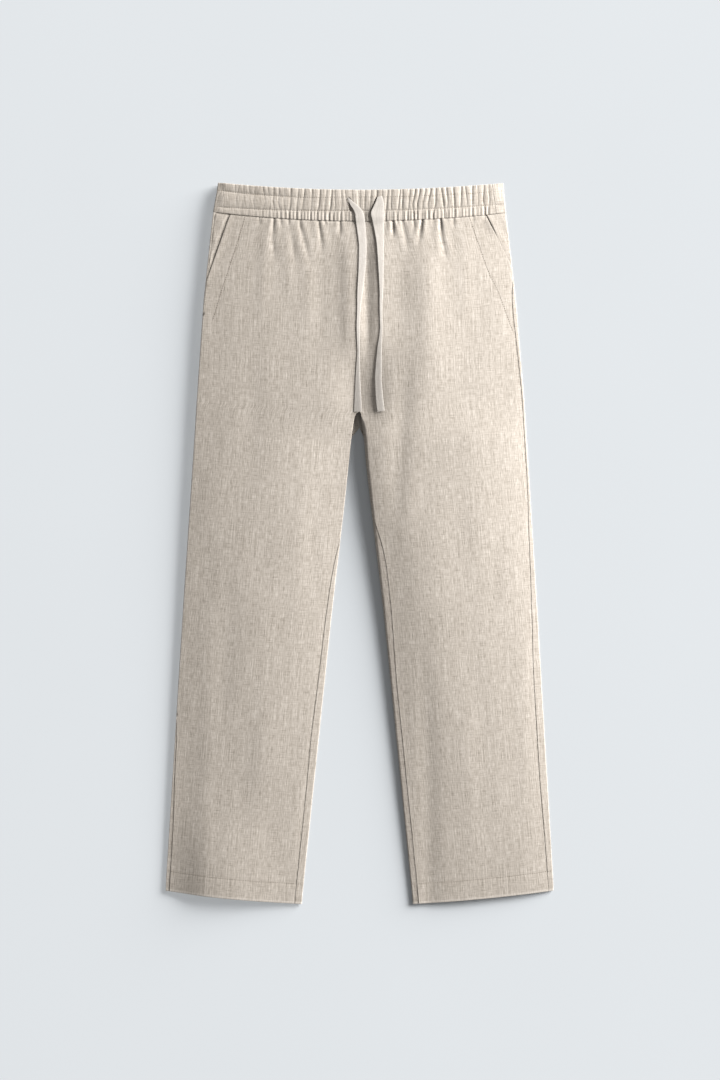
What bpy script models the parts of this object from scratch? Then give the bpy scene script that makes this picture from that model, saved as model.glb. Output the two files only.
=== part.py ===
"""Linen drawstring trousers, laid flat on a surface with the front upwards.

Two fronts and two backs are sewn at the sides, the inseams and the centre. The backs are cut wider, so
they wrap round the folded edges and their seams lie on top. A gathered waistband in two pieces closes the
top, with a slit for each drawstring. Slanted pocket openings show the facings.

+X is to the right, +Y towards the waist and +Z up. The underside rests on z = 0. Left and right are as
seen from above. Sizes are in millimetres until MM turns them into metres. "down" is the distance from
the waist seam towards the hem, along the side folds, and it is negative on the waistband.
"""

from collections import namedtuple
import math

import bmesh
import bpy
import numpy as np

MM = 0.001

# ---------------------------------------------------------------------------------------------------
# Driving sizes
# ---------------------------------------------------------------------------------------------------

CLOTH = 2.8  # wall of a panel
SEAM_GAP = 0.3  # between two pieces that are sewn together
FOLD_RADIUS = 3.8  # of the rounded folds along the sides and inseams
CROWN = 0.8  # how much higher the middle of a leg lies than its folds
CROWN_POWER = 3.0  # the higher, the flatter the middle

SIDE_LENGTH = 956.0  # waist seam to hem along the side fold
SIDE_TOP_Y = 466.5
CENTRE_TOP_Y = 453.5  # the waist seam dips to here at the centre front
INNER_HEM_Y = -508.5  # the hem's inner corners lie lower than its outer ones
WAIST_BOW = 1.0  # how round the rows lie: 1 is a parabola, 0 a straight line
HEM_BOW = 0.4

# Where the fronts and the backs part below the crotch. The backs part lower, so that they show between.
FORK = {"front": 267.0, "back": 283.0}
FORK_EASE = {"front": 25.0, "back": 38.0}  # the length over which an edge curls to a full fold

BAND_SIDE_RISE = 42.0  # width of the waistband at the side folds
BAND_CENTRE_RISE = 44.5
BAND_SEAM_INSET = 9.0  # its two seams lie this far in from the side folds
BAND_LEVELS = (SEAM_GAP, 5.0, 12.0, 21.0, 30.0, 36.0, BAND_SIDE_RISE)
BAND_BACK_LEVELS = (SEAM_GAP, 21.0, BAND_SIDE_RISE)
BAND_STITCH_LEVELS = (12.0, 30.0)  # rows of stitching, which press the gathers flat
GATHER_PITCH = 10.0
GATHER_RISE = 1.3
PRESSED_SHARE = 0.3  # of their rise is left to the gathers in a row of stitching
PRESSED_WIDTH = 6.0  # they have their full rise this far from it

SLIT_LENGTH = 15.0
SLIT_WIDTH = 2.6
SLIT_DOWN = -24.5  # middle of the slits
TAPE_THICKNESS = 1.2
TAPE_CLEARANCE = 0.45  # a drawstring lies this far above the cloth
TAPE_SECTIONS = 40

POCKET_STEP = 0.8  # the facing lies this much lower than the front at the opening
POCKET_TIP = 3.0  # the facing ends this far above the foot of the opening

# Points across each panel
FOLD_ZONE = 14.0  # width of the strip beside a fold that has its own, closer points
FRONT_FOLD_POINTS = 5
BACK_FOLD_POINTS = 8
BACK_MIDDLE_POINTS = 3
FACING_POINTS = 4
LEAST_STRIP = 3.0  # beside a pocket opening that lies further in than the fold's strip

# ---------------------------------------------------------------------------------------------------
# Tables, in millimetres
# ---------------------------------------------------------------------------------------------------

# x of the four edges of the legs. Above the crotch the inner edges are the centre seam.
Outline = namedtuple("Outline", "down left_outer left_inner right_inner right_outer")
OUTLINE = (
    Outline(-42, -198.5, 0.0, 0.0, 202.5),
    Outline(0, -206.5, 0.0, 0.0, 206.5),
    Outline(123, -219.5, 0.0, 0.0, 220.5),
    Outline(267, -229.5, 0.0, 0.0, 232.5),
    Outline(291, -230.9, -9.2, -0.5, 234.0),
    Outline(305, -231.8, -12.0, 6.3, 234.9),
    Outline(333, -233.6, -14.8, 7.8, 236.6),
    Outline(389, -237.3, -20.4, 14.8, 240.2),
    Outline(546, -248.0, -38.8, 33.8, 250.0),
    Outline(956, -273.9, -81.8, 75.4, 274.1),
)

# How far in from the folded edge each seam lies on top. 0 is the outermost point of the fold.
Seams = namedtuple("Seams", "down left_side left_inseam right_inseam right_side")
SEAMS = (
    Seams(0, 4.0, 0.0, 0.0, 6.5),
    Seams(94, 2.0, 0.0, 0.0, 6.5),
    Seams(150, 0.5, 0.0, 0.0, 6.5),
    Seams(240, 0.0, 0.0, 0.0, 2.8),
    Seams(395, 0.0, 0.0, 0.0, 3.0),
    Seams(475, 0.0, 6.0, 12.5, 5.6),
    Seams(560, 0.0, 8.0, 11.0, 7.8),
    Seams(640, 0.0, 9.0, 8.5, 10.6),
    Seams(720, 2.8, 11.0, 8.5, 10.6),
    Seams(800, 3.5, 10.0, 8.5, 10.6),
    Seams(870, 5.6, 10.0, 8.5, 8.5),
    Seams(956, 5.6, 10.0, 8.5, 7.0),
)

# The rows of points that run across each panel.
ROWS = (
    0, 8, 18, 30, 44, 60, 78, 94, 120, 150, 195, 240, 258, 267, 275, 283, 292, 301, 311, 321,
    333, 389, 430, 475, 560, 640, 720, 800, 870, 956,
)

# The slanted pocket openings: inset from the side fold at the waist, and where they reach the side seam.
Pocket = namedtuple("Pocket", "waist_inset foot")
POCKETS = {"left": Pocket(24.5, 94.0), "right": Pocket(30.5, 78.0)}

# The lines of the fronts' folds, from the waist seam to where each one has died away. A trough has a rise
# below 0 and a ridge above 0.
FoldLine = namedtuple("FoldLine", "x_waist x_foot length rise")
FULL_RISE_SHARE = 0.15  # of its length, from the waist seam
FOLD_LINES = {
    "left": (
        FoldLine(-172, -180, 120, 0.0),
        FoldLine(-150, -156, 110, 0.5),
        FoldLine(-135, -138, 60, 0.4),
        FoldLine(-129, -131, 30, -1.6),
        FoldLine(-123, -126, 60, 0.7),
        FoldLine(-112, -119, 70, 0.2),
        FoldLine(-107, -113, 62, -2.2),
        FoldLine(-102, -107, 80, 1.5),
        FoldLine(-97, -84, 80, 0.2),
        FoldLine(-93, -76, 80, -2.0),
        FoldLine(-87, -68, 95, 1.3),
        FoldLine(-74, -60, 95, 0.9),
        FoldLine(-64, -54, 60, 0.2),
        FoldLine(-59, -48, 56, -1.8),
        FoldLine(-53, -42, 80, 1.0),
        FoldLine(-41, -36, 110, 0.5),
        FoldLine(-32, -30, 50, 0.2),
        FoldLine(-28, -26, 35, -1.5),
        FoldLine(-21, -20, 110, -0.9),
    ),
    "right": (
        FoldLine(22, 21, 110, -0.6),
        FoldLine(33, 33, 90, 0.5),
        FoldLine(41, 43, 40, 0.2),
        FoldLine(46, 49, 26, -1.8),
        FoldLine(52, 55, 70, 0.4),
        FoldLine(63, 66, 110, -0.5),
        FoldLine(68, 71, 24, -1.4),
        FoldLine(75, 75, 70, 0.3),
        FoldLine(84, 79, 50, 0.8),
        FoldLine(89, 83, 42, -2.2),
        FoldLine(95, 90, 60, 0.9),
        FoldLine(104, 104, 150, 1.3),
        FoldLine(110, 113, 70, 0.8),
        FoldLine(115, 121, 64, -2.3),
        FoldLine(121, 128, 70, 1.1),
        FoldLine(130, 135, 20, -1.2),
        FoldLine(137, 142, 60, 0.4),
        FoldLine(152, 157, 110, 0.2),
        FoldLine(166, 176, 120, 0.0),
    ),
}

# The gathers are uneven: sine waves shift them along the band, as a share of their pitch, and lower some.
Wave = namedtuple("Wave", "size turns start")
GATHER_SHIFTS = (Wave(0.16, 1.9, 0.0), Wave(0.10, 0.73, 1.0))
GATHER_LOWERING = Wave(0.2, 2.3, 0.0)

# How strongly the front of the waistband is gathered along its length.
GatherShare = namedtuple("GatherShare", "x share")
GATHER_SHARES = (
    GatherShare(-198, 0.3),
    GatherShare(-150, 0.5),
    GatherShare(-90, 0.8),
    GatherShare(-30, 1.0),
    GatherShare(150, 1.0),
    GatherShare(186, 0.9),
    GatherShare(192, 0.0),
)

# A drawstring's route from its slit to its free end. yaw turns its width in the plane, roll tips it, with
# the left edge raised, and past 90 degrees its other face is up. It narrows where it is twisted.
Tape = namedtuple("Tape", "down x yaw roll width lift")
TAPES = {
    "left": (
        Tape(-24.5, -15.5, 90, 0, 13.0, -3.4),
        Tape(-24.5, -15.4, 88, 0, 13.0, 0.6),
        Tape(-23.5, -13.6, 70, 8, 13.0, 2.6),
        Tape(-18.5, -8.6, 42, 18, 13.0, 1.6),
        Tape(-11.0, -2.4, 22, 24, 13.0, 0.8),
        Tape(0.0, 1.5, 6, 25, 13.0, 0.4),
        Tape(25.0, 4.2, 0, 30, 13.0, 0.2),
        Tape(46.0, 4.3, 0, 37, 12.5, 0.0),
        Tape(71.0, 2.7, 0, 40, 12.0, 0.0),
        Tape(102.0, 0.5, 0, 45, 10.5, 0.0),
        Tape(126.0, -1.4, 0, 57, 9.0, 0.0),
        Tape(165.0, -1.6, 0, 62, 8.5, 0.0),
        Tape(193.0, -1.2, 0, 80, 8.5, 0.0),
        Tape(208.0, -1.4, 0, 104, 9.0, 0.0),
        Tape(225.0, -2.8, 0, 138, 11.0, 0.0),
        Tape(242.0, -2.8, 0, 144, 12.5, 0.0),
        Tape(266.0, -2.6, 0, 155, 13.5, 0.0),
    ),
    "right": (
        Tape(-24.5, 30.0, -90, 0, 13.0, -3.4),
        Tape(-24.5, 29.9, -88, 0, 13.0, 0.6),
        Tape(-23.0, 28.6, -68, 4, 13.0, 2.6),
        Tape(-17.5, 26.4, -38, 6, 14.0, 1.6),
        Tape(-10.0, 25.4, -18, 6, 14.0, 0.8),
        Tape(0.0, 26.4, -6, 8, 14.0, 0.4),
        Tape(23.0, 28.5, 0, 28, 14.0, 0.2),
        Tape(41.0, 29.2, 0, 42, 12.5, 0.0),
        Tape(62.0, 29.6, 0, 47, 11.5, 0.0),
        Tape(93.0, 30.5, 0, 53, 10.0, 0.0),
        Tape(121.0, 30.2, 0, 64, 8.5, 0.0),
        Tape(153.0, 30.2, 0, 74, 8.5, 0.0),
        Tape(168.0, 29.4, 0, 104, 8.5, 0.0),
        Tape(187.0, 27.8, 0, 130, 9.5, 0.0),
        Tape(213.0, 26.4, 0, 142, 12.0, 0.0),
        Tape(238.0, 27.3, 0, 144, 13.0, 0.0),
        Tape(266.0, 29.4, 0, 155, 13.5, 0.0),
    ),
}

SLIT_X = {"left": TAPES["left"][0].x, "right": TAPES["right"][0].x}
TOWARDS_CENTRE = {"left": 1.0, "right": -1.0}

# Linear colours of the natural linen
GREIGE = (0.50, 0.44, 0.37)
SHADED_GREIGE = (0.46, 0.40, 0.34)
PALE_GREIGE = (0.66, 0.60, 0.53)
CLOTH_ROUGHNESS = 0.9
TAPE_ROUGHNESS = 0.85

# ---------------------------------------------------------------------------------------------------
# The form of the whole garment
# ---------------------------------------------------------------------------------------------------


def smooth(value, start, end):
    """0 up to start, 1 from end on, and an S-curve between."""
    share = min(max((value - start) / (end - start), 0.0), 1.0)
    return share * share * (3 - 2 * share)


def column(table, name, down):
    """The table's named column at this distance down."""
    return float(np.interp(down, [row.down for row in table], [getattr(row, name) for row in table]))


def edges(side, layer, down):
    """x of the outer and the inner edge of a front or a back."""
    outer = column(OUTLINE, side + "_outer", down)
    inner = column(OUTLINE, side + "_inner", down)
    if layer == "back":
        inner *= smooth(down, FORK["back"], FORK["back"] + FORK_EASE["back"])
    return outer, inner


def y_at(side, x, down):
    """y of the row at this distance down. Rows dip towards the centre."""
    outer, inner = edges(side, "front", down)
    across = min(max((x - outer) / (inner - outer), 0.0), 1.0)
    share = down / SIDE_LENGTH
    outer_y = SIDE_TOP_Y - down
    if down < 0:
        inner_y = CENTRE_TOP_Y - down * BAND_CENTRE_RISE / BAND_SIDE_RISE
        bow = WAIST_BOW
    else:
        inner_y = CENTRE_TOP_Y + (INNER_HEM_Y - CENTRE_TOP_Y) * share
        bow = WAIST_BOW + (HEM_BOW - WAIST_BOW) * share
    return outer_y + (inner_y - outer_y) * (across + bow * across * (1 - across))


def crown(side, x, down):
    """How much higher the upper cloth lies here than along its folds."""
    outer, inner = edges(side, "front", down)
    across_body = min(abs(x / outer), 1.0)
    across_leg = min(abs(2 * (x - outer) / (inner - outer) - 1), 1.0)
    body = 1 - across_body**CROWN_POWER
    leg = 1 - across_leg**CROWN_POWER
    parted = smooth(down, FORK["front"], FORK["front"] + FORK_EASE["front"])
    return CROWN * (body + (leg - body) * parted)


def fold_line_places(side, down):
    """x and rise of each fold line of a front at this distance down, from left to right."""
    outer, inner = edges(side, "front", down)
    places = []
    for line in FOLD_LINES[side]:
        if down < line.length:
            x = line.x_waist + (line.x_foot - line.x_waist) * down / line.length
        else:
            foot_outer, foot_inner = edges(side, "front", line.length)
            across = (line.x_foot - foot_outer) / (foot_inner - foot_outer)
            x = outer + (inner - outer) * across
        places.append((x, line.rise * (1 - smooth(down, FULL_RISE_SHARE * line.length, line.length))))
    return places


def relief(side, x, down):
    """Rise of the front's folds here."""
    places = fold_line_places(side, max(down, 0.0))
    return float(np.interp(x, [x for x, _ in places], [rise for _, rise in places], 0.0, 0.0))


def arc_at(inset):
    """The distance along the cloth from a fold's outermost point to this inset on top."""
    if inset < FOLD_RADIUS:
        return FOLD_RADIUS * math.acos(1 - inset / FOLD_RADIUS)
    return FOLD_RADIUS * math.pi / 2 + inset - FOLD_RADIUS


def zone_arc(sweep):
    """The distance along the cloth from an edge's end to the inner limit of the strip beside the fold."""
    return FOLD_ZONE + FOLD_RADIUS * (sweep - math.sin(sweep))


def fold_point(arc, sweep, above):
    """A point of a folded edge, this far along the cloth from its end: inset, z and normal.

    A sweep of 90 degrees gives a full quarter round, and 0 gives a flat cut edge.
    """
    rise = 1.0 if above else -1.0
    turned = sweep - abs(arc) / FOLD_RADIUS
    if turned > 0:
        inset = FOLD_RADIUS * (math.sin(sweep) - math.sin(turned))
        level = FOLD_RADIUS * math.cos(turned)
        normal = (-math.sin(turned), rise * math.cos(turned))
    else:
        inset = FOLD_RADIUS * math.sin(sweep) + abs(arc) - FOLD_RADIUS * sweep
        level = FOLD_RADIUS
        normal = (0.0, rise)
    return inset, FOLD_RADIUS + rise * level, normal


def inner_sweep(layer, down):
    """How far the inner edge of a leg is rounded: not at all above the crotch."""
    return math.pi / 2 * smooth(down, FORK[layer], FORK[layer] + FORK_EASE[layer])


# ---------------------------------------------------------------------------------------------------
# Panels
# ---------------------------------------------------------------------------------------------------


def wall_points(side, down, x, z, normal):
    """The outer and the inner point of a wall."""
    y = y_at(side, x, down)
    across, up = normal
    return (x, y, z), (x - across * CLOTH, y, z - up * CLOTH)


def moved_back(pair, direction):
    """Both points of a wall's end, moved half a seam gap against this direction in the x-z plane."""
    length = math.hypot(*direction)
    dx = -direction[0] / length * SEAM_GAP / 2
    dz = -direction[1] / length * SEAM_GAP / 2
    return tuple((x + dx, y, z + dz) for x, y, z in pair)


def end_direction(normal, onward):
    """The direction along the cloth at a point, turned towards the side that `onward` points to."""
    across, up = normal
    along = (up, -across)
    if along[0] * onward[0] + along[1] * onward[1] < 0:
        along = (-along[0], -along[1])
    return along


def edge_station(side, layer, down, edge, arc):
    """x, z and normal of a point near the outer or the inner edge of a front or a back."""
    above = layer == "front" or arc > 0
    sweep = math.pi / 2 if edge == "outer" else inner_sweep(layer, down)
    inset, z, (across, up) = fold_point(arc, sweep, above)
    outer_x, inner_x = edges(side, layer, down)
    inward = TOWARDS_CENTRE[side] * (1.0 if edge == "outer" else -1.0)
    x = (outer_x if edge == "outer" else inner_x) + inward * inset
    if above:
        z += crown(side, x, down)
    return x, z, (inward * across, up)


def station_line(side, layer, down, edge, first_arc, last_arc, count):
    """Stations at even steps along the cloth beside one edge."""
    return [
        edge_station(side, layer, down, edge, arc)
        for arc in np.linspace(first_arc, last_arc, count)
    ]


def outer_end_arc(side, down):
    """Where a front starts: at its pocket opening, or at the side seam below it."""
    seam = column(SEAMS, side + "_side", down)
    pocket = POCKETS[side]
    if down >= pocket.foot:
        return arc_at(seam)
    seam_at_foot = column(SEAMS, side + "_side", pocket.foot)
    inset = pocket.waist_inset + (seam_at_foot - pocket.waist_inset) * down / pocket.foot
    return arc_at(inset)


def finished_row(side, down, stations):
    """The wall's points along one row, with both ends moved back by half a seam gap."""
    row = [wall_points(side, down, *station) for station in stations]
    first, second = stations[0], stations[1]
    last, before = stations[-1], stations[-2]
    away = end_direction(first[2], (first[0] - second[0], first[1] - second[1]))
    row[0] = moved_back(row[0], away)
    away = end_direction(last[2], (last[0] - before[0], last[1] - before[1]))
    row[-1] = moved_back(row[-1], away)
    return row


def front_row(side, down):
    """One row of a front, from its side seam or pocket opening to its inseam or the centre seam."""
    outer_end = outer_end_arc(side, down)
    inner_end = arc_at(column(SEAMS, side + "_inseam", down))
    outer_zone = max(zone_arc(math.pi / 2), outer_end + LEAST_STRIP)
    inner_zone = zone_arc(inner_sweep("front", down))
    outer_part = station_line(side, "front", down, "outer", outer_end, outer_zone, FRONT_FOLD_POINTS)
    inner_part = station_line(side, "front", down, "inner", inner_zone, inner_end, FRONT_FOLD_POINTS)
    middle = []
    for x, _ in sorted(fold_line_places(side, down), key=lambda place: place[0] * TOWARDS_CENTRE[side]):
        middle.append((x, 2 * FOLD_RADIUS + crown(side, x, down), (0.0, 1.0)))
    stations = []
    for x, z, normal in outer_part + middle + inner_part:
        stations.append((x, z + relief(side, x, down), normal))
    return finished_row(side, down, stations)


def under_stations(side, down, outer_end, inner_end):
    """Stations from an end on top of the outer fold, round and under, to the inner end."""
    outer_zone = -zone_arc(math.pi / 2)
    inner_zone = -zone_arc(inner_sweep("back", down))
    outer_part = station_line(side, "back", down, "outer", outer_end, outer_zone, BACK_FOLD_POINTS)
    inner_part = station_line(side, "back", down, "inner", inner_zone, inner_end, BACK_FOLD_POINTS)
    start, end = outer_part[-1][0], inner_part[0][0]
    steps = np.linspace(0, 1, BACK_MIDDLE_POINTS + 2)[1:-1]
    middle = [(start + (end - start) * step, 0.0, (0.0, -1.0)) for step in steps]
    return outer_part + middle + inner_part


def back_row(side, down):
    """One row of a back, from its side seam to its inseam, both on top, or to the centre seam."""
    outer_end = arc_at(column(SEAMS, side + "_side", down))
    inner_end = arc_at(column(SEAMS, side + "_inseam", down))
    return finished_row(side, down, under_stations(side, down, outer_end, inner_end))


def facing_row(side, down):
    """One row of a pocket facing, from the side seam to the opening."""
    seam = arc_at(column(SEAMS, side + "_side", down))
    opening = outer_end_arc(side, down)
    stations = station_line(side, "front", down, "outer", seam, opening, FACING_POINTS)
    row = finished_row(side, down, stations)
    sunk = []
    for share, ((x, y, z), inner) in zip(np.linspace(0, 1, FACING_POINTS), row):
        sunk.append(((x, y, z - POCKET_STEP * share), inner))
    return sunk


# ---------------------------------------------------------------------------------------------------
# Waistband
# ---------------------------------------------------------------------------------------------------


def gather_places():
    """Places along the front of the band, 0 to 1, with the crest share of each: four to a gather."""
    length = OUTLINE[1].right_outer - OUTLINE[1].left_outer - 2 * BAND_SEAM_INSET
    gathers = round(length / GATHER_PITCH)
    places = []
    for quarter in range(4 * gathers + 1):
        turn = quarter / 4
        shift = sum(wave.size * math.sin(wave.turns * turn + wave.start) for wave in GATHER_SHIFTS)
        held_at_ends = math.sin(math.pi * turn / gathers)
        crest = (1 + math.cos(2 * math.pi * turn)) / 2
        lowering = GATHER_LOWERING.size * (1 - math.sin(GATHER_LOWERING.turns * turn))
        places.append(((turn + shift * held_at_ends) / gathers, crest * (1 - lowering)))
    return places


def pressed(level):
    """How far the gathers stand up at this level of the band: least in a row of stitching."""
    nearest = min(abs(level - stitch) for stitch in BAND_STITCH_LEVELS)
    return PRESSED_SHARE + (1 - PRESSED_SHARE) * smooth(nearest, 0.0, PRESSED_WIDTH)


def gather_share(x):
    return float(np.interp(x, [row.x for row in GATHER_SHARES], [row.share for row in GATHER_SHARES]))


def band_side(x):
    return "left" if x < 0 else "right"


def band_surface(x, down):
    """z of the band's smooth outer surface on top, away from the folds."""
    return 2 * FOLD_RADIUS + crown(band_side(x), x, down)


def band_front_row(level):
    """One row of the band's front, from its left seam to its right seam."""
    down = -level
    start = edges("left", "front", down)[0] + BAND_SEAM_INSET + SEAM_GAP / 2
    end = edges("right", "front", down)[0] - BAND_SEAM_INSET - SEAM_GAP / 2
    row = []
    for place, crest in gather_places():
        x = start + (end - start) * place
        y = y_at(band_side(x), x, down)
        z = band_surface(x, down)
        rise = GATHER_RISE * crest * gather_share(x) * pressed(level)
        row.append(((x, y, z + rise), (x, y, z - CLOTH)))
    return row


def band_back_row(level):
    """One row of the band's back, from its left seam on top, round and under, to its right seam on top."""
    down = -level
    seam = arc_at(BAND_SEAM_INSET)
    left = under_stations("left", down, seam, 0.0)
    right = under_stations("right", down, seam, 0.0)
    stations = left + right[-2::-1]
    row = [wall_points(band_side(x), down, x, z, normal) for x, z, normal in stations]
    row[0] = moved_back(row[0], (1.0, 0.0))
    row[-1] = moved_back(row[-1], (-1.0, 0.0))
    return row


# ---------------------------------------------------------------------------------------------------
# Drawstrings
# ---------------------------------------------------------------------------------------------------


def through(values, place):
    """A smooth curve through the values, read at this place from 0 to len(values) - 1."""
    index = min(int(place), len(values) - 2)
    share = place - index
    before = values[max(index - 1, 0)]
    first, second = values[index], values[index + 1]
    after = values[min(index + 2, len(values) - 1)]
    return 0.5 * (
        2 * first
        + (second - before) * share
        + (2 * before - 5 * first + 4 * second - after) * share**2
        + (3 * first - before - 3 * second + after) * share**3
    )


def top_height(x, down):
    """z of the highest cloth under this point of the front, gathers included."""
    if down < 0:
        return band_surface(x, down) + GATHER_RISE
    side = band_side(x)
    outer, inner = edges(side, "front", down)
    x = min(x, inner) if side == "left" else max(x, inner)
    return 2 * FOLD_RADIUS + crown(side, x, down) + max(relief(side, x, down), 0.0)


def tape_section(route, place):
    """The left edge, middle and right edge of a drawstring, above the cloth that it lies on."""
    down, x, yaw, roll, width, lift = (
        through([getattr(row, name) for row in route], place) for name in Tape._fields
    )
    yaw, roll = math.radians(yaw), math.radians(roll)
    half = width / 2
    reach = (half * math.cos(roll) * math.cos(yaw), half * math.cos(roll) * math.sin(yaw))
    drop = half * math.sin(roll)
    under = [top_height(x + share * reach[0], down - share * reach[1]) for share in (-1, -0.5, 0, 0.5, 1)]
    z = max(under) + TAPE_CLEARANCE + TAPE_THICKNESS / 2 + abs(drop) + lift
    y = y_at(band_side(x), x, down)
    return [(x + share * reach[0], y + share * reach[1], z - share * drop) for share in (-1, 0, 1)]


# ---------------------------------------------------------------------------------------------------
# Objects
# ---------------------------------------------------------------------------------------------------


def clear_scene():
    for scene_object in list(bpy.data.objects):
        bpy.data.objects.remove(scene_object, do_unlink=True)


def collection(name):
    made = bpy.data.collections.new(name)
    bpy.context.scene.collection.children.link(made)
    return made


def cloth_material(name, colour, roughness):
    material = bpy.data.materials.new(name)
    material.use_nodes = True
    shader = material.node_tree.nodes["Principled BSDF"]
    shader.inputs["Base Color"].default_value = (*colour, 1.0)
    shader.inputs["Roughness"].default_value = roughness
    shader.inputs["Metallic"].default_value = 0.0
    return material


def add_object(name, mesh, material, where):
    mesh.materials.append(material)
    made = bpy.data.objects.new(name, mesh)
    where.objects.link(made)
    return made


def add_wall(name, rows, material, where):
    """A closed wall through rows of (outer, inner) point pairs."""
    shape = bmesh.new()
    outer = [[shape.verts.new([v * MM for v in pair[0]]) for pair in row] for row in rows]
    inner = [[shape.verts.new([v * MM for v in pair[1]]) for pair in row] for row in rows]
    last_row, last_column = len(rows) - 1, len(rows[0]) - 1
    for r in range(last_row):
        for c in range(last_column):
            shape.faces.new((outer[r][c], outer[r][c + 1], outer[r + 1][c + 1], outer[r + 1][c]))
            shape.faces.new((inner[r][c], inner[r + 1][c], inner[r + 1][c + 1], inner[r][c + 1]))
    for r in (0, last_row):
        for c in range(last_column):
            shape.faces.new((outer[r][c], inner[r][c], inner[r][c + 1], outer[r][c + 1]))
    for c in (0, last_column):
        for r in range(last_row):
            shape.faces.new((outer[r][c], outer[r + 1][c], inner[r + 1][c], inner[r][c]))
    bmesh.ops.recalc_face_normals(shape, faces=shape.faces)
    mesh = bpy.data.meshes.new(name)
    shape.to_mesh(mesh)
    shape.free()
    return add_object(name, mesh, material, where)


def add_tape(name, route, material, where):
    """A drawstring: an open strip of sections, given its thickness by Solidify."""
    sections = [tape_section(route, place) for place in np.linspace(0, len(route) - 1, TAPE_SECTIONS)]
    shape = bmesh.new()
    points = [[shape.verts.new([v * MM for v in point]) for point in section] for section in sections]
    for first, second in zip(points, points[1:]):
        for c in range(len(first) - 1):
            shape.faces.new((first[c], second[c], second[c + 1], first[c + 1]))
    mesh = bpy.data.meshes.new(name)
    shape.to_mesh(mesh)
    shape.free()
    made = add_object(name, mesh, material, where)
    thick = made.modifiers.new("thickness", "SOLIDIFY")
    thick.thickness = TAPE_THICKNESS * MM
    thick.offset = 0.0
    return made


def add_slit(side, band, where):
    """Cuts a drawstring's slit through the front of the band."""
    x = SLIT_X[side]
    y = y_at(side, x, SLIT_DOWN)
    z = band_surface(x, SLIT_DOWN)
    bpy.ops.mesh.primitive_cube_add(size=1, location=(x * MM, y * MM, z * MM))
    cutter = bpy.context.object
    cutter.name = "slit_cutter_" + side
    cutter.scale = (SLIT_WIDTH * MM, SLIT_LENGTH * MM, 4 * CLOTH * MM)
    cutter.display_type = "WIRE"
    cutter.hide_render = True
    for holder in list(cutter.users_collection):
        holder.objects.unlink(cutter)
    where.objects.link(cutter)
    cut = band.modifiers.new("slit_" + side, "BOOLEAN")
    cut.operation = "DIFFERENCE"
    cut.object = cutter


def panel_rows(side):
    """The rows of a leg's panels, with one at the foot of its pocket opening."""
    return sorted({float(down) for down in ROWS} | {POCKETS[side].foot})


def facing_rows(side):
    """The rows of a pocket's facing, which ends in a narrow tip just above the foot of its opening."""
    tip = POCKETS[side].foot - POCKET_TIP
    return [down for down in panel_rows(side) if down < tip] + [tip]


def main():
    clear_scene()
    garment = collection("linen_drawstring_trousers")
    cutters = collection("cutters")
    linen = cloth_material("linen", GREIGE, CLOTH_ROUGHNESS)
    facing_linen = cloth_material("facing_linen", SHADED_GREIGE, CLOTH_ROUGHNESS)
    tape_linen = cloth_material("tape_linen", PALE_GREIGE, TAPE_ROUGHNESS)

    for side in ("left", "right"):
        downs = panel_rows(side)
        add_wall("front_" + side, [front_row(side, down) for down in downs], linen, garment)
        add_wall("back_" + side, [back_row(side, down) for down in downs], linen, garment)
        facing = [facing_row(side, down) for down in facing_rows(side)]
        add_wall("pocket_facing_" + side, facing, facing_linen, garment)
        add_tape("drawstring_" + side, TAPES[side], tape_linen, garment)

    band = add_wall("waistband_front", [band_front_row(level) for level in BAND_LEVELS], linen, garment)
    add_wall("waistband_back", [band_back_row(level) for level in BAND_BACK_LEVELS], linen, garment)
    for side in ("left", "right"):
        add_slit(side, band, cutters)


main()
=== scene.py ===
"""Linen drawstring trousers laid flat, front up: the finished cloth, its stitching, the light and the camera.

Each piece of cloth is one open sheet whose edges are turned in, as a maker presses and sews them. +X is to
the right, +Y towards the waist and +Z up. Sizes are in millimetres until MM turns them into metres. "down"
is the distance from the waist seam towards the hem along the side folds, and is negative on the waistband.
"""

import math
from collections import namedtuple

import bpy
import numpy as np
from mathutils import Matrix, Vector


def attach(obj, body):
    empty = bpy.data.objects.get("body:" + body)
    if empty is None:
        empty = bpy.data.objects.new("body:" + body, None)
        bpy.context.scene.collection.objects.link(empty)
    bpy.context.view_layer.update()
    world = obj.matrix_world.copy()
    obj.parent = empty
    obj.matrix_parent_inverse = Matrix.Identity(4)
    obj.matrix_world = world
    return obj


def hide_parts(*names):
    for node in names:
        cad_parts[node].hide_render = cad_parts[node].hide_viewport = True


MM = 0.001
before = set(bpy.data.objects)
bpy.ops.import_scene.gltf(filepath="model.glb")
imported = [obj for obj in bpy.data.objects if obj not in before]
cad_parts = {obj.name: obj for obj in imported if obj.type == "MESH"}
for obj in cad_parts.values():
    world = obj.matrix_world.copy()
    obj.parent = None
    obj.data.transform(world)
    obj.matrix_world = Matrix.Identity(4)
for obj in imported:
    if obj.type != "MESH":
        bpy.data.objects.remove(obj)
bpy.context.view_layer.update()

# ---- Tables of the garment's form ----


def table(names, *rows):
    """A table as a dict of columns."""
    return dict(zip(names.split(), np.array(rows, float).T))


def records(kind, *rows):
    """Rows as named tuples of one kind."""
    return tuple(kind(*row) for row in rows)


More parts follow.
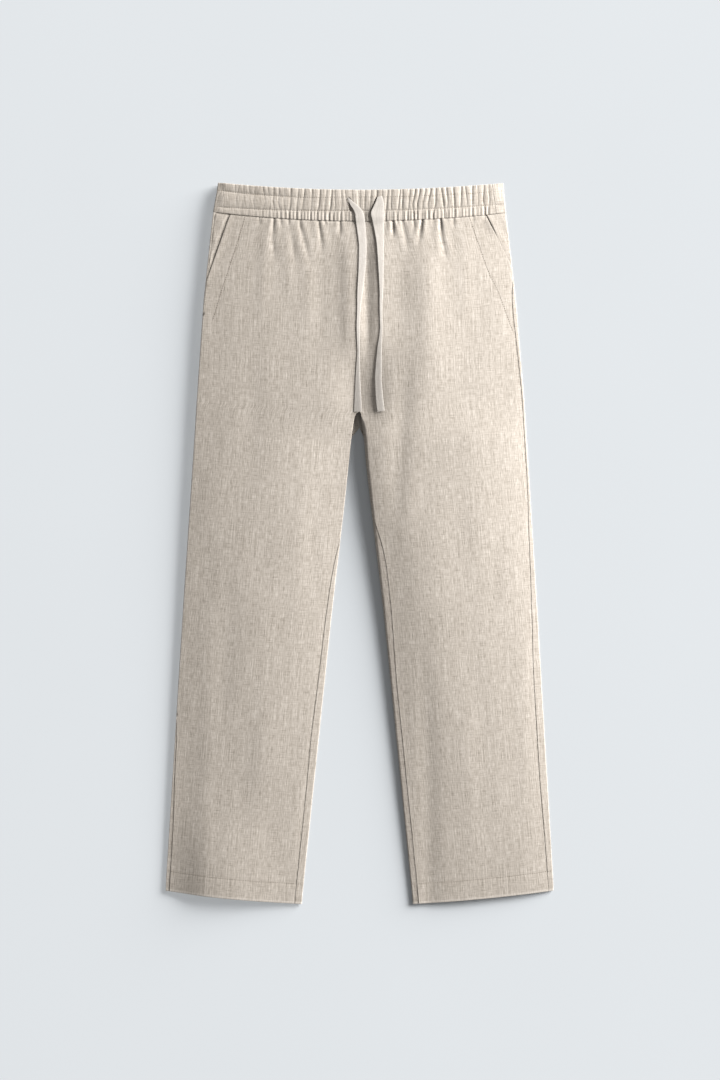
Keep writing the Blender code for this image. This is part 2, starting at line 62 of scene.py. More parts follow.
OUTLINE = table(
    "down left_outer left_inner right_inner right_outer",
    (-42, -198.5, 0, 0, 202.5),
    (0, -206.5, 0, 0, 206.5),
    (123, -219.5, 0, 0, 220.5),
    (266, -229.4, 0, 0, 232.4),
    (268.5, -229.6, -4.6, 1.6, 232.6),
    (273.5, -229.9, -6.8, 2.2, 232.9),
    (279, -230.2, -8, 2.9, 233.2),
    (286, -230.6, -9.1, 3.8, 233.7),
    (294, -231.1, -10.6, 5.4, 234.2),
    (305, -231.8, -12, 6.6, 234.9),
    (333, -233.6, -14.8, 8.4, 236.6),
    (389, -237.3, -20.4, 14.8, 240.2),
    (546, -248, -38.8, 33.8, 250),
    (956, -273.9, -81.8, 75.4, 274.1),
)
# How far in from the folded edge each seam lies on top. Below 0 it lies that far round the fold, underneath.
SEAMS = table(
    "down left_side left_inseam right_inseam right_side",
    (0, 4, -3, -3, -2),
    (80, 2.4, -3, -3, -2),
    (94, 2, -3, -3, -0.5),
    (108, 1.5, -3, -3, 4.2),
    (140, 0.6, -3, -3, 5.6),
    (170, -2.5, -3, -3, 4.6),
    (240, -3, -3, -3, 2.8),
    (395, -3, -3, -1.5, 3),
    (412, -3, -2, 1.2, 3.8),
    (436, -3, -0.6, 6, 4.8),
    (450, -3, 1.4, 9, 5.2),
    (475, -3, 4.6, 12, 5.6),
    (510, -3, 6.8, 11.8, 6.6),
    (560, -3, 8, 11, 7.8),
    (640, -3, 9, 8.5, 10.6),
    (690, -1.5, 10.4, 8.5, 10.6),
    (715, 0.9, 11, 8.5, 10.6),
    (740, 2.6, 10.8, 8.5, 10.6),
    (800, 3.5, 10, 8.5, 10.6),
    (870, 5.6, 10, 8.5, 8.5),
    (956, 5.6, 10, 8.5, 7),
)
# Radius of the folded edges, the height of the body's middle, and the legs' rise between their folds.
LOFT = table(
    "down left_outer left_inner right_inner right_outer crest crown",
    (-42, 4.2, 3.4, 3.6, 2, 10.8, 5),
    (0, 4.4, 3.4, 3.6, 1.8, 11.8, 5),
    (150, 4.3, 3, 3.6, 1.6, 12.8, 5),
    (267, 4.1, 2.6, 5.2, 1.6, 13.2, 5.4),
    (300, 4, 2.4, 5.4, 1.6, 13.2, 5.4),
    (400, 3.7, 1.9, 4.4, 1.5, 13.2, 5.4),
    (500, 3.2, 1.7, 3.3, 1.5, 13.2, 5.2),
    (600, 2.8, 1.6, 2.6, 1.4, 13.2, 4.8),
    (720, 2.4, 1.5, 2, 1.3, 13.2, 3.8),
    (880, 1.8, 1.3, 1.4, 1.2, 13.2, 2.8),
    (956, 1.5, 1.1, 1.1, 1, 13.2, 2),
)
# Each leg's highest line, from 0 at its outer edge to 1 at its inner edge, its share of the crown, and how
# its cloth falls away from there on either side: 2 is a parabola.
Ridge = namedtuple("Ridge", "place share outer_power inner_power")
RIDGES = {"left": Ridge(0.56, 1.0, 1.9, 1.7), "right": Ridge(0.4, 1.24, 1.9, 3.2)}
# How square the upper shoulder of each folded edge is: 2 is a circle.
SQUARENESS = {"left_outer": 10.0, "left_inner": 12.0, "right_inner": 2.1, "right_outer": 9.0}
# The left hem stands open: its upper cloth rises towards the edge.
Mouth = namedtuple("Mouth", "x width rise length")
HEM_MOUTH = {"left": Mouth(-205.0, 70.0, 5.5, 170.0)}
FORK = {"front": 267.0, "back": 286.0}
FORK_EASE = {"front": 25.0, "back": 18.0}
SIDE_LENGTH = 956.0
SIDE_TOP_Y = 466.5
CENTRE_TOP_Y = 453.5
INNER_HEM_Y = -508.5
WAIST_BOW = 1.0
HEM_BOW = 0.4
BAND_SIDE_RISE = 42.0
BAND_CENTRE_RISE = 44.5
FOLD_ZONE = 14.0
SEAM_GAP = 0.3
TOWARDS_CENTRE = {"left": 1.0, "right": -1.0}

# A pocket's opening: how far in it starts at the waist, where it meets the side, and how deep its edge
# stands over the facing down to "open" and from "closed" on. The facing slopes down to it.
Pocket = namedtuple("Pocket", "waist_inset foot open closed deep shallow slope")
POCKETS = {
    "left": Pocket(24.5, 94.0, 40.0, 94.0, 1.0, 0.7, 7.0),
    "right": Pocket(29.0, 80.0, 16.0, 36.0, 1.7, 0.1, 2.2),
}

# Creases under the waistband: where each starts and ends, its depth, and half its width at the top.
Crease = namedtuple("Crease", "start x_start end x_end depth width")
CREASES = {
    "left": records(
        Crease,
        (0, -141, 14, -141.5, 0.45, 1.3),
        (0, -120.6, 34, -122.8, 0.85, 1.4),
        (26, -122.6, 66, -119, 0.5, 2.2),
        (0, -110.3, 14, -110.4, 0.35, 1.3),
        (0, -100.3, 12, -100.6, 0.3, 1.2),
        (20, -96.5, 72, -88.5, 0.4, 2.4),
        (0, -84.4, 20, -83, 0.6, 1.3),
        (10, -83, 74, -66, 0.6, 2),
        (0, -57.6, 52, -51.4, 0.85, 1.5),
        (0, -48.5, 9, -47.6, 0.5, 1.1),
        (0, -27.5, 26, -27.3, 0.75, 1.4),
    ),
    "right": records(
        Crease,
        (0, 46.9, 28, 47.4, 1.5, 1.2),
        (0, 52.9, 8, 53.2, 0.4, 1.1),
        (0, 60.2, 52, 70.2, 0.7, 1.7),
        (0, 76.2, 16, 77.6, 0.5, 1.2),
        (0, 88.2, 38, 82.2, 1.5, 1.3),
        (0, 113.9, 30, 115.4, 1.6, 1.3),
        (22, 115, 66, 122.6, 0.9, 1.8),
        (0, 131.3, 18, 133.6, 0.5, 1.3),
        (0, 160.3, 16, 160.6, 0.4, 1.3),
    ),
}
# Soft rolls of the cloth: a path from one end to the other, how high it stands, or lies if below 0, and
# half its width. Both ends fade over a third of the length.
Roll = namedtuple("Roll", "start x_start end x_end rise width")
CENTRE_ROLLS = records(
    Roll,
    (-12, -62, 230, -56, -0.6, 18),
    (-12, -15, 215, -12, 1.9, 13),
    (-12, 0, 215, 3, 1.2, 9),
    (-12, 10, 215, 11, -1, 6),
    (-12, 28, 215, 29, 1.6, 12),
    (-12, 43, 205, 44, 0.6, 12),
)
ROLLS = {
    "left": records(
        Roll,
        (0, -76, 190, -66, 0.5, 12),
        (0, -103, 120, -98, 0.35, 9),
        (-10, -131, 150, -138, 0.4, 9),
        (120, -150, 420, -150, -0.3, 16),
        (300, -75, 640, -92, 0.35, 15),
        (560, -206, 960, -222, 0.3, 13),
        (600, -130, 960, -152, 0.3, 15),
        (430, -180, 760, -196, -0.25, 15),
    ),
    "right": records(
        Roll,
        (170, 66, 440, 50, -1.2, 15),
        (-12, 92, 320, 96, 1.7, 34),
        (0, 94, 240, 98, 0.8, 18),
        (0, 146, 170, 150, 0.4, 12),
        (300, 60, 600, 84, 0.35, 16),
        (520, 226, 900, 238, 0.3, 13),
        (560, 92, 1100, 102, -0.8, 13),
        (330, 92, 860, 142, 0.9, 34),
        (600, 150, 960, 160, 0.4, 16),
        (380, 190, 700, 200, -0.25, 16),
    ),
}
# The grooves of the gathered waistband, at three levels, with their depths. 1 is a full groove.
GROOVES = table(
    "top middle low depth_top depth_middle depth_low",
    (-175.3, -176, -177, 0.5, 0.1, 0.1),
    (-170.2, -173.8, -173.4, 0.45, 0.35, 0.1),
    (-163.3, -163.8, -167, 0.3, 0.2, 0.3),
    (-155.8, -154.4, -157.2, 0.5, 0.15, 0.3),
    (-147.4, -149.5, -147.4, 0.4, 0.35, 0.3),
    (-136, -132.8, -137.8, 0.9, 0.3, 0.3),
    (-129, -125.2, -128.7, 0.5, 0.3, 0.4),
    (-120.8, -122, -119.3, 0.9, 0.7, 0.4),
    (-113.5, -114.5, -111.8, 0.8, 0.8, 0.5),
    (-106.5, -106.9, -104, 0.3, 0.4, 0.4),
    (-96.9, -97.3, -99.4, 1.1, 0.9, 0.8),
    (-86.2, -88.1, -89.7, 0.5, 0.45, 0.8),
    (-77.6, -79.7, -81.9, 0.9, 0.4, 0.5),
    (-67, -67.7, -69.5, 0.6, 0.3, 0.4),
    (-55.7, -57.1, -60.8, 0.9, 0.7, 0.5),
    (-46.5, -49.1, -50.2, 0.4, 0.3, 0.5),
    (-39.2, -40.8, -43, 0.9, 1, 1),
    (-35.2, -34.5, -36.7, 0.5, 0.3, 0.6),
    (-26, -25, -27.5, 0.4, 0.4, 0.4),
    (-20.4, -18.3, -19, 0.4, 0.2, 0.3),
    (-10.6, -10.6, -10.6, 0.3, 0.2, 0.3),
    (-1.4, -1.1, -2.1, 0.9, 0.8, 0.3),
    (7.8, 7, 6.3, 0.5, 0.5, 0.4),
    (16.2, 14.8, 14.8, 0.5, 0.4, 0.4),
    (24.4, 23.3, 23.3, 1, 0.5, 0.4),
    (31.7, 30.3, 29.6, 0.3, 0.3, 0.3),
    (39.6, 37.8, 37.1, 0.6, 0.8, 1.2),
    (44.7, 44, 44.1, 0.6, 0.6, 0.5),
    (56.8, 54.8, 53.3, 0.8, 0.7, 0.7),
    (60.6, 59.8, 59.6, 0.6, 1.2, 0.9),
    (70.4, 69, 67.7, 0.7, 0.5, 1),
    (78, 74.3, 76.1, 1.2, 0.6, 0.8),
    (84.7, 80.9, 81, 1.1, 1.1, 0.5),
    (92.4, 88.8, 88.1, 0.9, 0.4, 0.9),
    (99.7, 95.9, 96.6, 1.3, 0.6, 0.5),
    (106.9, 106.7, 103.6, 1, 0.9, 1),
    (114.9, 117.7, 118.9, 0.9, 1.4, 0.6),
    (122, 124.1, 122, 1.2, 0.4, 0.6),
    (131.8, 133.2, 133, 1.1, 1.1, 0.7),
    (143.1, 142.6, 141, 1, 0.7, 0.5),
    (148.8, 150.9, 151.6, 0.8, 0.4, 0.3),
    (158.6, 158.6, 158.6, 1, 0.9, 0.4),
    (166.1, 167.1, 166.4, 0.5, 0.3, 0.4),
    (175, 173.6, 176.4, 0.8, 0.8, 0.8),
    (181.6, 183, 181.2, 0.4, 0.6, 0.5),
)
GROOVE_LEVELS = (38.0, 21.0, 6.0)
GROOVE_DEPTH = 1.1
GROOVE_WIDTH = 1.25
FINE_GATHER_RISE = 0.2
FINE_GATHER_PITCH = 5.2

# Rows of stitching on the waistband, as levels above the waist seam, and its two seams.
BAND_ROWS = table(
    "x upper lower",
    (-198, 31, 8),
    (-169, 30, 9.2),
    (-84, 29.6, 12),
    (-13, 31.9, 14),
    (100, 31.5, 13.8),
    (200, 31, 12.6),
)
BAND_ENDS = table("level left right", (0, -191.5, 192.5), (20, -191.0, 190.0), (42, -193.5, 186.5))

# The line of stitching that holds each pocket: where it crosses each row.
POCKET_LINES = {
    "left": table("down x", (0, -160), (14, -164), (35, -170), (75, -183), (107, -193.5), (150, -206)),
    "right": table("down x", (0, 154.5), (25, 162.5), (64, 176.3), (85, 184), (112, 197), (166, 216)),
}

# The slits that the drawstrings come out of: a line from top to low end, its depth and half its width.
Slit = namedtuple("Slit", "x_top level_top x_low level_low depth width")
SLITS = (Slit(-15.2, 30.5, -12.2, 14.5, 3.6, 1.7), Slit(24.0, 32.0, 15.0, 11.5, 2.0, 0.8))

# A drawstring's route from its slit to its free end. yaw turns its width in the plane, roll tips it.
Tape = namedtuple("Tape", "down x yaw roll width lift")
TAPES = {
    "left": records(
        Tape,
        (-30.6, -17, 58, 0, 1.6, -1.6),
        (-29.4, -16, 54, 0, 2.4, -0.6),
        (-26.4, -13.4, 48, 0, 4, -0.1),
        (-22.4, -10.2, 44, 0, 6.2, 0),
        (-16.6, -4.6, 36, 0, 9, 0),
        (-10.6, -0.7, 20, 1, 11.6, 0),
        (-2.6, 0.9, 5, 2, 12.7, 0),
        (11.4, 2.5, 2, 2, 12.2, 0),
        (31, 4.3, 0, 2, 10.9, 0),
        (46, 4.4, 0, 2, 10.8, 0),
        (69, 3.4, 0, 3, 9.9, 0),
        (97, 1, 0, 4, 8.2, 0),
        (113, -0.2, 0, 4, 6.2, 0),
        (127, -1, 0, 4, 5, 0),
        (148, -1.7, 0, 4, 4.9, 0),
        (165, -1.6, 0, 2, 4.4, 0),
        (183, -1.3, 0, -1, 3.6, 0),
        (200, -2, 0, -4, 4.8, 0),
        (218, -2.4, 0, -6, 6.4, 0),
        (235, -2.4, 0, -7, 8.2, 0),
        (252, -2.3, 0, -7, 10, 0),
        (266.4, -2.4, 4, -7, 11.4, 0),
    ),
    "right": records(
        Tape,
        (-32.4, 28.4, 12, 0, 6, -1.4),
        (-30.8, 28.6, 10, 0, 7.4, -0.3),
        (-26.4, 28.6, 6, 0, 10.2, 0),
        (-21.4, 28.1, 3, 1, 13.2, 0),
        (-15, 26.7, 0, 1, 16.4, 0),
        (-9.6, 25.6, 0, 2, 18.8, 0),
        (-2.6, 26.2, 0, 2, 17, 0),
        (9.6, 27.4, 0, 2, 14.2, 0),
        (26.4, 28.9, 0, 3, 11.2, 0),
        (42, 29.5, 0, 3, 9.4, 0),
        (66, 30.3, 0, 3, 7.8, 0),
        (98, 30.7, 0, 3, 5.2, 0),
        (121, 30.1, 0, 3, 3.9, 0),
        (153, 30.4, 0, 0, 3.6, 0),
        (174, 28.5, 0, -4, 5.8, 0),
        (187, 27.7, 0, -5, 7, 0),
        (201, 27.1, 0, -6, 8.6, 0),
        (218, 26.4, 0, -7, 9.3, 0),
        (235, 27.1, 0, -7, 9.9, 0),
        (253, 28.6, 0, -7, 10.6, 0),
        (266.4, 30.3, 0, -7, 10.4, 0),
    ),
}
TAPE_THICKNESS = 0.8
TAPE_CLEARANCE = 0.1

# ---- The form of the whole garment ----

CENTRE_DIP = 0.12  # how far the middle of the body sinks, as a share of its height
FORK_DIP = 0.6  # how much more it sinks towards the fork
DIP_WIDTH = 34.0
BODY_POWER = 2.4  # the higher, the flatter the body is and the steeper its sides
EDGE_ROUNDING = 16.0
SEAM_ROUNDING = 14.0


def smooth(value, start, end):
    """0 up to start, 1 from end on, and an S-curve between."""
    share = np.clip((value - start) / (end - start), 0.0, 1.0)
    return share * share * (3 - 2 * share)


def bell(off, width):
    """1 where off is 0, falling away on both sides."""
    return np.exp(-((off / width) ** 2))


def column(rows, name, at, key="down"):
    return np.interp(at, rows[key], rows[name])


def rounded_column(rows, name, down, reach=EDGE_ROUNDING):
    """A column without corners: the mean of its values around this place."""
    steps = np.linspace(-reach, reach, 9)
    return float(np.mean(np.interp(down + steps, rows["down"], rows[name])))


def seam_inset(side, seam, down):
    """How far in from its folded edge a side seam or an inseam lies."""
    return rounded_column(SEAMS, side + "_" + seam, down, SEAM_ROUNDING)


def fold_radius(side, edge, down):
    return float(column(LOFT, side + "_" + edge, down))


def edges(side, layer, down):
    """x of the outer and the inner edge of a front or a back."""
    outer = rounded_column(OUTLINE, side + "_outer", down)
    reach = float(np.clip((down - FORK["front"]) / 2, 0, EDGE_ROUNDING))
    inner = rounded_column(OUTLINE, side + "_inner", down, reach)
    if layer == "back":
        inner = inner * smooth(down, FORK["back"], FORK["back"] + FORK_EASE["back"])
    return outer, inner


def from_outer_edge(side, x, down):
    return np.abs(x - edges(side, "front", down)[0])


def y_at(side, x, down):
    """y of the row at this distance down. Rows dip towards the centre."""
    outer, inner = edges(side, "front", down)
    across = np.clip((x - outer) / (inner - outer), 0.0, 1.0)
    share = down / SIDE_LENGTH
    outer_y = SIDE_TOP_Y - down
    if down < 0:
        inner_y = CENTRE_TOP_Y - down * BAND_CENTRE_RISE / BAND_SIDE_RISE
        bow = WAIST_BOW
    else:
        inner_y = CENTRE_TOP_Y + (INNER_HEM_Y - CENTRE_TOP_Y) * share
        bow = WAIST_BOW + (HEM_BOW - WAIST_BOW) * share
    return outer_y + (inner_y - outer_y) * (across + bow * across * (1 - across))


def rise_over_fold(side, x, down, edge):
    """How much higher the upper cloth lies here than the top of the fold at this edge."""
    outer, inner = edges(side, "front", down)
    outer_radius, inner_radius = fold_radius(side, "outer", down), fold_radius(side, "inner", down)
    dip = CENTRE_DIP + FORK_DIP * smooth(down, 150.0, 265.0)
    centre = 1 - dip * bell(x, DIP_WIDTH)
    across_body = np.clip(np.abs(x / outer), 0, 1)
    height = column(LOFT, "crest", down) - 2 * outer_radius
    body = 2 * outer_radius + height * (1 - across_body**BODY_POWER) * centre
    ridge = RIDGES[side]
    across = np.clip((x - outer) / (inner - outer), 0, 1)
    outwards = np.clip((ridge.place - across) / ridge.place, 0, 1) ** ridge.outer_power
    inwards = np.clip((across - ridge.place) / (1 - ridge.place), 0, 1) ** ridge.inner_power
    rise = column(LOFT, "crown", down) * ridge.share * (1 - outwards - inwards)
    leg = 2 * (outer_radius + (inner_radius - outer_radius) * across) + rise
    if side in HEM_MOUTH:
        mouth = HEM_MOUTH[side]
        shape = bell(x - mouth.x, mouth.width) * smooth(np.abs(x - outer), 0, 60)
        leg = leg + mouth.rise * shape * smooth(down, SIDE_LENGTH - mouth.length, SIDE_LENGTH)
    parted = smooth(down, FORK["front"] - 20, FORK["front"] + 50)
    return body + (leg - body) * parted - 2 * fold_radius(side, edge, down)


def top_z(side, x, down):
    """z of the smooth upper cloth away from its folds."""
    return 2 * fold_radius(side, "outer", down) + rise_over_fold(side, x, down, "outer")


def resting_z(side, x, down):
    """z of the cloth underneath, which lies flat."""
    return np.zeros_like(x)


def shoulder(sweep, squareness):
    """Lengths, insets and levels along the upper part of a fold of radius 1, outermost point first."""
    power = 1 + (2 / squareness - 1) * sweep / (math.pi / 2)
    angle = np.linspace(math.pi / 2 - sweep, math.pi / 2, 300)
    inset = math.sin(sweep) ** power - np.maximum(np.cos(angle), 0) ** power
    level = np.sin(angle) ** power
    steps = np.hypot(np.diff(inset), np.diff(level))
    return np.concatenate([[0], np.cumsum(steps)]), inset, level


def arc_on_edge(side, edge, inset, down):
    """The distance along the cloth from a fold's outermost point to this inset on top."""
    if inset < 0:
        return float(inset)
    radius = fold_radius(side, edge, down)
    lengths, insets, _ = shoulder(math.pi / 2, SQUARENESS[side + "_" + edge])
    return radius * float(np.interp(inset / radius, insets, lengths)) + max(float(inset) - radius, 0.0)


def fold_points(arc, sweep, radius, squareness):
    """Inset and z of points this far along the cloth from the end of a folded edge."""
    lengths, insets, levels = shoulder(sweep, squareness)
    above = np.maximum(arc, 0) / radius
    upper_inset = radius * (np.interp(above, lengths, insets) + np.maximum(above - lengths[-1], 0))
    upper_z = radius * (1 + np.where(above < lengths[-1], np.interp(above, lengths, levels), 1.0))
    turned = np.maximum(sweep - np.abs(arc) / radius, 0.0)
    beyond = np.maximum(np.abs(arc) - radius * sweep, 0.0)
    lower_inset = radius * (math.sin(sweep) - np.sin(turned)) + beyond
    lower_z = radius * (1 - np.cos(turned))
    return np.where(arc > 0, upper_inset, lower_inset), np.where(arc > 0, upper_z, lower_z)


def edge_sweep(layer, edge, down):
    """How far round a folded edge turns. The inner edges only start to turn at the fork."""
    if edge == "outer":
        return math.pi / 2
    return math.pi / 2 * float(smooth(down, FORK[layer], FORK[layer] + FORK_EASE[layer]))


def zone_arc(side, layer, edge, down):
    """How much cloth lies between a fold's outermost point and the inner end of its zone."""
    sweep = edge_sweep(layer, edge, down)
    return FOLD_ZONE + fold_radius(side, edge, down) * (sweep - math.sin(sweep))


def edge_points(side, layer, down, edge, arcs):
    """x and z of points beside the outer or inner edge of a front or a back."""
    radius, squareness = fold_radius(side, edge, down), SQUARENESS[side + "_" + edge]
    inset, z = fold_points(arcs, edge_sweep(layer, edge, down), radius, squareness)
    outer_x, inner_x = edges(side, layer, down)
    if edge == "outer":
        x = outer_x + TOWARDS_CENTRE[side] * inset
    else:
        x = inner_x - TOWARDS_CENTRE[side] * inset
    return x, np.where(arcs > 0, z + rise_over_fold(side, x, down, edge), z)


def seam_arc(side, seam, down):
    """Where a seam lies, as a distance along the cloth from the fold's outermost point."""
    inset = seam_inset(side, seam, down)
    if seam == "side":
        return arc_on_edge(side, "outer", inset, down)
    inset *= float(smooth(down, FORK["front"] + 25, FORK["front"] + 80))
    return arc_on_edge(side, "inner", inset, down)


def side_of(x):
    return "left" if x < 0 else "right"


# ---- Relief of the cloth ----

noise_source = np.random.default_rng(7)
WAVES = [
    (
        noise_source.uniform(0.03, 0.13),
        noise_source.uniform(-0.035, 0.035),
        noise_source.uniform(0, 2 * math.pi),
    )
    for _ in range(14)
]


def unevenness(x, down):
    """A soft, irregular rise and fall, longer down the leg than across it, from about -1 to 1."""
    total = sum(np.sin(kx * x + ky * down + start) for kx, ky, start in WAVES)
    return total / math.sqrt(2 * len(WAVES))


def line_at(path, down):
    """x of a crease or a roll at this distance down, and how far along it that is."""
    share = np.clip((down - path.start) / (path.end - path.start), 0, 1)
    return path.x_start + (path.x_end - path.x_start) * share, share


def crease_relief(side, x, down):
    """Sharp grooves with a soft shoulder on either side. They widen and fade towards their ends."""
    total = np.zeros_like(x)
    for crease in CREASES[side]:
        line, share = line_at(crease, down)
        fade = 1 - smooth(down, crease.start + 0.35 * (crease.end - crease.start), crease.end)
        if crease.start > 0:
            fade = fade * smooth(down, crease.start - 6, crease.start + 8)
        off = np.abs(x - line) / (crease.width * (1 + 0.9 * share))
        total += crease.depth * fade * (0.35 * bell(off - 3.2, 2.0) - np.exp(-(off**1.5)))
    return total


def roll_relief(side, x, down):
    total = np.zeros_like(x)
    for roll in CENTRE_ROLLS + ROLLS[side]:
        line, _ = line_at(roll, down)
        third = (roll.end - roll.start) / 3
        fade = smooth(down, roll.start, roll.start + third)
        fade = fade * (1 - smooth(down, roll.end - third, roll.end))
        total += roll.rise * fade * bell(x - line, roll.width)
    return total


def groove_relief(x, level):
    """Depth of the waistband's grooves, from 0 to about -1, at this level above the waist seam."""
    total = np.zeros_like(x)
    levels = GROOVE_LEVELS[::-1]
    for k in range(len(GROOVES["top"])):
        line, depth = (
            np.interp(level, levels, [GROOVES[kind + name][k] for name in ("low", "middle", "top")])
            for kind in ("", "depth_")
        )
        total -= depth * np.exp(-((np.abs(x - line) / GROOVE_WIDTH) ** 1.2))
    return total


def fine_gathers(x, level):
    """Close ripples of the strip between the lower row of stitching and the waist seam."""
    strength = smooth(x, -165.0, -90.0) * (1 - smooth(x, 180.0, 190.0))
    phase = 2 * math.pi * (x + 1.3 * np.sin(x / 11.0)) / FINE_GATHER_PITCH
    return FINE_GATHER_RISE * strength * np.sin(phase) * (1 - smooth(level, 10.0, 16.0))


def pressed_ripples(x, pitch):
    """The gathers underneath, pressed flat: from -1 in their grooves to 0 on their crests."""
    return np.abs(np.sin(math.pi * (x + 2 * np.sin(x / 17.0)) / pitch)) ** 0.7 - 1


# ---- Sheets of cloth ----

Sheet = namedtuple("Sheet", "points normals grain pale")

EDGE_RADIUS = 0.28
END = EDGE_RADIUS + SEAM_GAP / 3
# How much cloth is turned in at a seam, at a panel's top, and at the waist seam of the other pieces.
SEAM_TUCK = 0.8
PANEL_TUCK = 5.0
WAIST_TUCK = 4.0
HEM_WIDTH = 28.0
HEM_TUCK = HEM_WIDTH - 1
HEM_RADIUS = 0.75


def unit(vectors):
    return vectors / np.maximum(np.linalg.norm(vectors, axis=-1, keepdims=True), 1e-9)


def distances(points):
    """How far along a line each of its points lies."""
    return np.concatenate([[0], np.cumsum(np.linalg.norm(np.diff(points, axis=0), axis=1))])


def make_sheet(points, downs, outward, lift, pale=0.0):
    """A sheet from a grid of points. lift moves each along its normal. outward, 1 or -1, picks the side."""
    normals = outward * unit(np.cross(np.gradient(points, axis=1), np.gradient(points, axis=0)))
    steps = np.linalg.norm(np.diff(points, axis=1), axis=-1)
    across = np.concatenate([np.zeros((len(points), 1)), np.cumsum(steps, axis=1)], axis=1)
    across -= across[:, across.shape[1] // 2][:, None]
    along = np.repeat(-downs[:, None], points.shape[1], axis=1)
    grain = np.stack([across, along, np.zeros_like(across)], axis=-1)
    return Sheet(points + normals * lift[..., None], normals, grain, np.broadcast_to(pale, across.shape))


def turned_edge(sheet, where, radius, tuck, steps=5):
    """Turns one edge of a sheet in: round a small radius and back along its inner side."""
    first, by_column = where.startswith("first"), where.endswith("column")

    def edge_last(values):
        values = np.swapaxes(values, 0, 1) if by_column else values
        return values[::-1] if first else values

    def as_before(values):
        values = values[::-1] if first else values
        return np.swapaxes(values, 0, 1) if by_column else values

    points, normals, grain, pale = (edge_last(values) for values in sheet)
    normal = normals[-1]
    outwards = unit(points[-1] - points[-2])
    outwards = unit(outwards - normal * np.sum(outwards * normal, axis=-1, keepdims=True))
    tuck = np.broadcast_to(tuck, normal.shape[:-1])[..., None]
    offsets, travelled = [], []
    for turn in np.linspace(math.pi / steps, math.pi, steps):
        offsets.append(outwards * radius * math.sin(turn) - normal * radius * (1 - math.cos(turn)))
        travelled.append(radius * turn)
    for share in (0.25, 1.0):
        offsets.append(-outwards * tuck * share - 2 * radius * normal)
        travelled.append(math.pi * radius + tuck.mean() * share)
    step = unit(grain[-1] - grain[-2])
    points = np.concatenate([points, points[-1] + np.array(offsets)])
    normals = np.concatenate([normals, [normal] * len(offsets)])
    grain = np.concatenate([grain, grain[-1] + step * np.array(travelled)[:, None, None]])
    pale = np.concatenate([pale, [pale[-1]] * len(offsets)])
    return Sheet(*(as_before(values) for values in (points, normals, grain, pale)))


def sewn_edges(sheet, tuck, columns=("first_column", "last_column")):
    """Turns in the edges that are sewn to other pieces: these columns, and the row at the waist seam."""
    for where in columns:
        sheet = turned_edge(sheet, where, EDGE_RADIUS, SEAM_TUCK)
    return turned_edge(sheet, "first_row", EDGE_RADIUS, tuck)


def add_object(name, data):
    made = bpy.data.objects.new(name, data)
    bpy.context.scene.collection.objects.link(made)
    return made


def add_mesh(name, points, faces, material, grain=None, pale=0.0):
    """An object from points in millimetres. grain is where each of them lies in the weave."""
    mesh = bpy.data.meshes.new(name)
    mesh.from_pydata((np.array(points) * MM).tolist(), [], faces)
    mesh.shade_smooth()
    mesh.materials.append(material)
    if grain is not None:
        places = mesh.attributes.new("grain", "FLOAT_VECTOR", "POINT")
        places.data.foreach_set("vector", (np.array(grain).reshape(-1) * MM).astype(np.float32))
        paleness = mesh.attributes.new("pale", "FLOAT", "POINT")
        paleness.data.foreach_set("value", np.broadcast_to(pale, len(points)).astype(np.float32))
    return add_object(name, mesh)


def add_sheet(name, sheet, outward, material):
    count_rows, count_columns = sheet.points.shape[:2]
    index = np.arange(count_rows * count_columns).reshape(count_rows, count_columns)
    quads = np.stack([index[:-1, :-1], index[:-1, 1:], index[1:, 1:], index[1:, :-1]], axis=-1)
    faces = (quads if outward > 0 else quads[..., ::-1]).reshape(-1, 4).tolist()
    return add_mesh(name, sheet.points.reshape(-1, 3), faces, material, sheet.grain, sheet.pale.reshape(-1))


# ---- Leg panels and pocket facings ----

# The waistband laps over the fronts and the pocket facings, whose cloth dips under its edge.
LAP = 0.7
LAP_DIP = 0.75
LAP_REACH = 3.0

TOP_DOWNS = np.concatenate(
    [
        np.linspace(0.0, 14.0, 15),
        np.linspace(15.5, 90.0, 48),
        np.linspace(93.5, 250.0, 42),
        np.linspace(252.5, 330.0, 34),
    ]
)
LEG_DOWNS = np.linspace(335.0, 915.0, 118)
HEM_DOWNS = np.linspace(918.0, SIDE_LENGTH - END, 22)
PANEL_DOWNS = np.concatenate([[END], TOP_DOWNS[TOP_DOWNS > END + 0.3], LEG_DOWNS, HEM_DOWNS])
FRONT_DOWNS = np.concatenate([[-LAP], PANEL_DOWNS])

# At a seam the cloth on its +X side stands a little higher than the cloth on the other side.
SEAM_RISE = 0.22
SEAM_DROP = 0.22
SEAM_FADE = 4.0
POCKET_LIP = 0.35
POCKET_LINE_DEPTH = 0.16
HEM_RISE = 0.15
HEM_LINE_DEPTH = 0.16
FRONT_UNEVENNESS = 0.16
FRONT_PUCKER = 0.06
UNDER_UNEVENNESS = 0.5
UNDER_RIPPLES = 0.6
UNDER_RIPPLE_PITCH = 9.5
UNDER_HEM_LINE_DEPTH = 0.4
BACK_PUCKER = 0.07
UNDER_Z = 0.6  # lower than this, a back's cloth lies underneath


def lap_dip(down):
    return -LAP_DIP * (1 - smooth(down, 0.0, LAP_REACH))


def outer_end_inset(side, down):
    """Where a front starts: at its pocket opening, or at the side seam below it."""
    pocket = POCKETS[side]
    if down >= pocket.foot:
        return seam_inset(side, "side", down)
    at_foot = seam_inset(side, "side", pocket.foot)
    return pocket.waist_inset + (at_foot - pocket.waist_inset) * down / pocket.foot


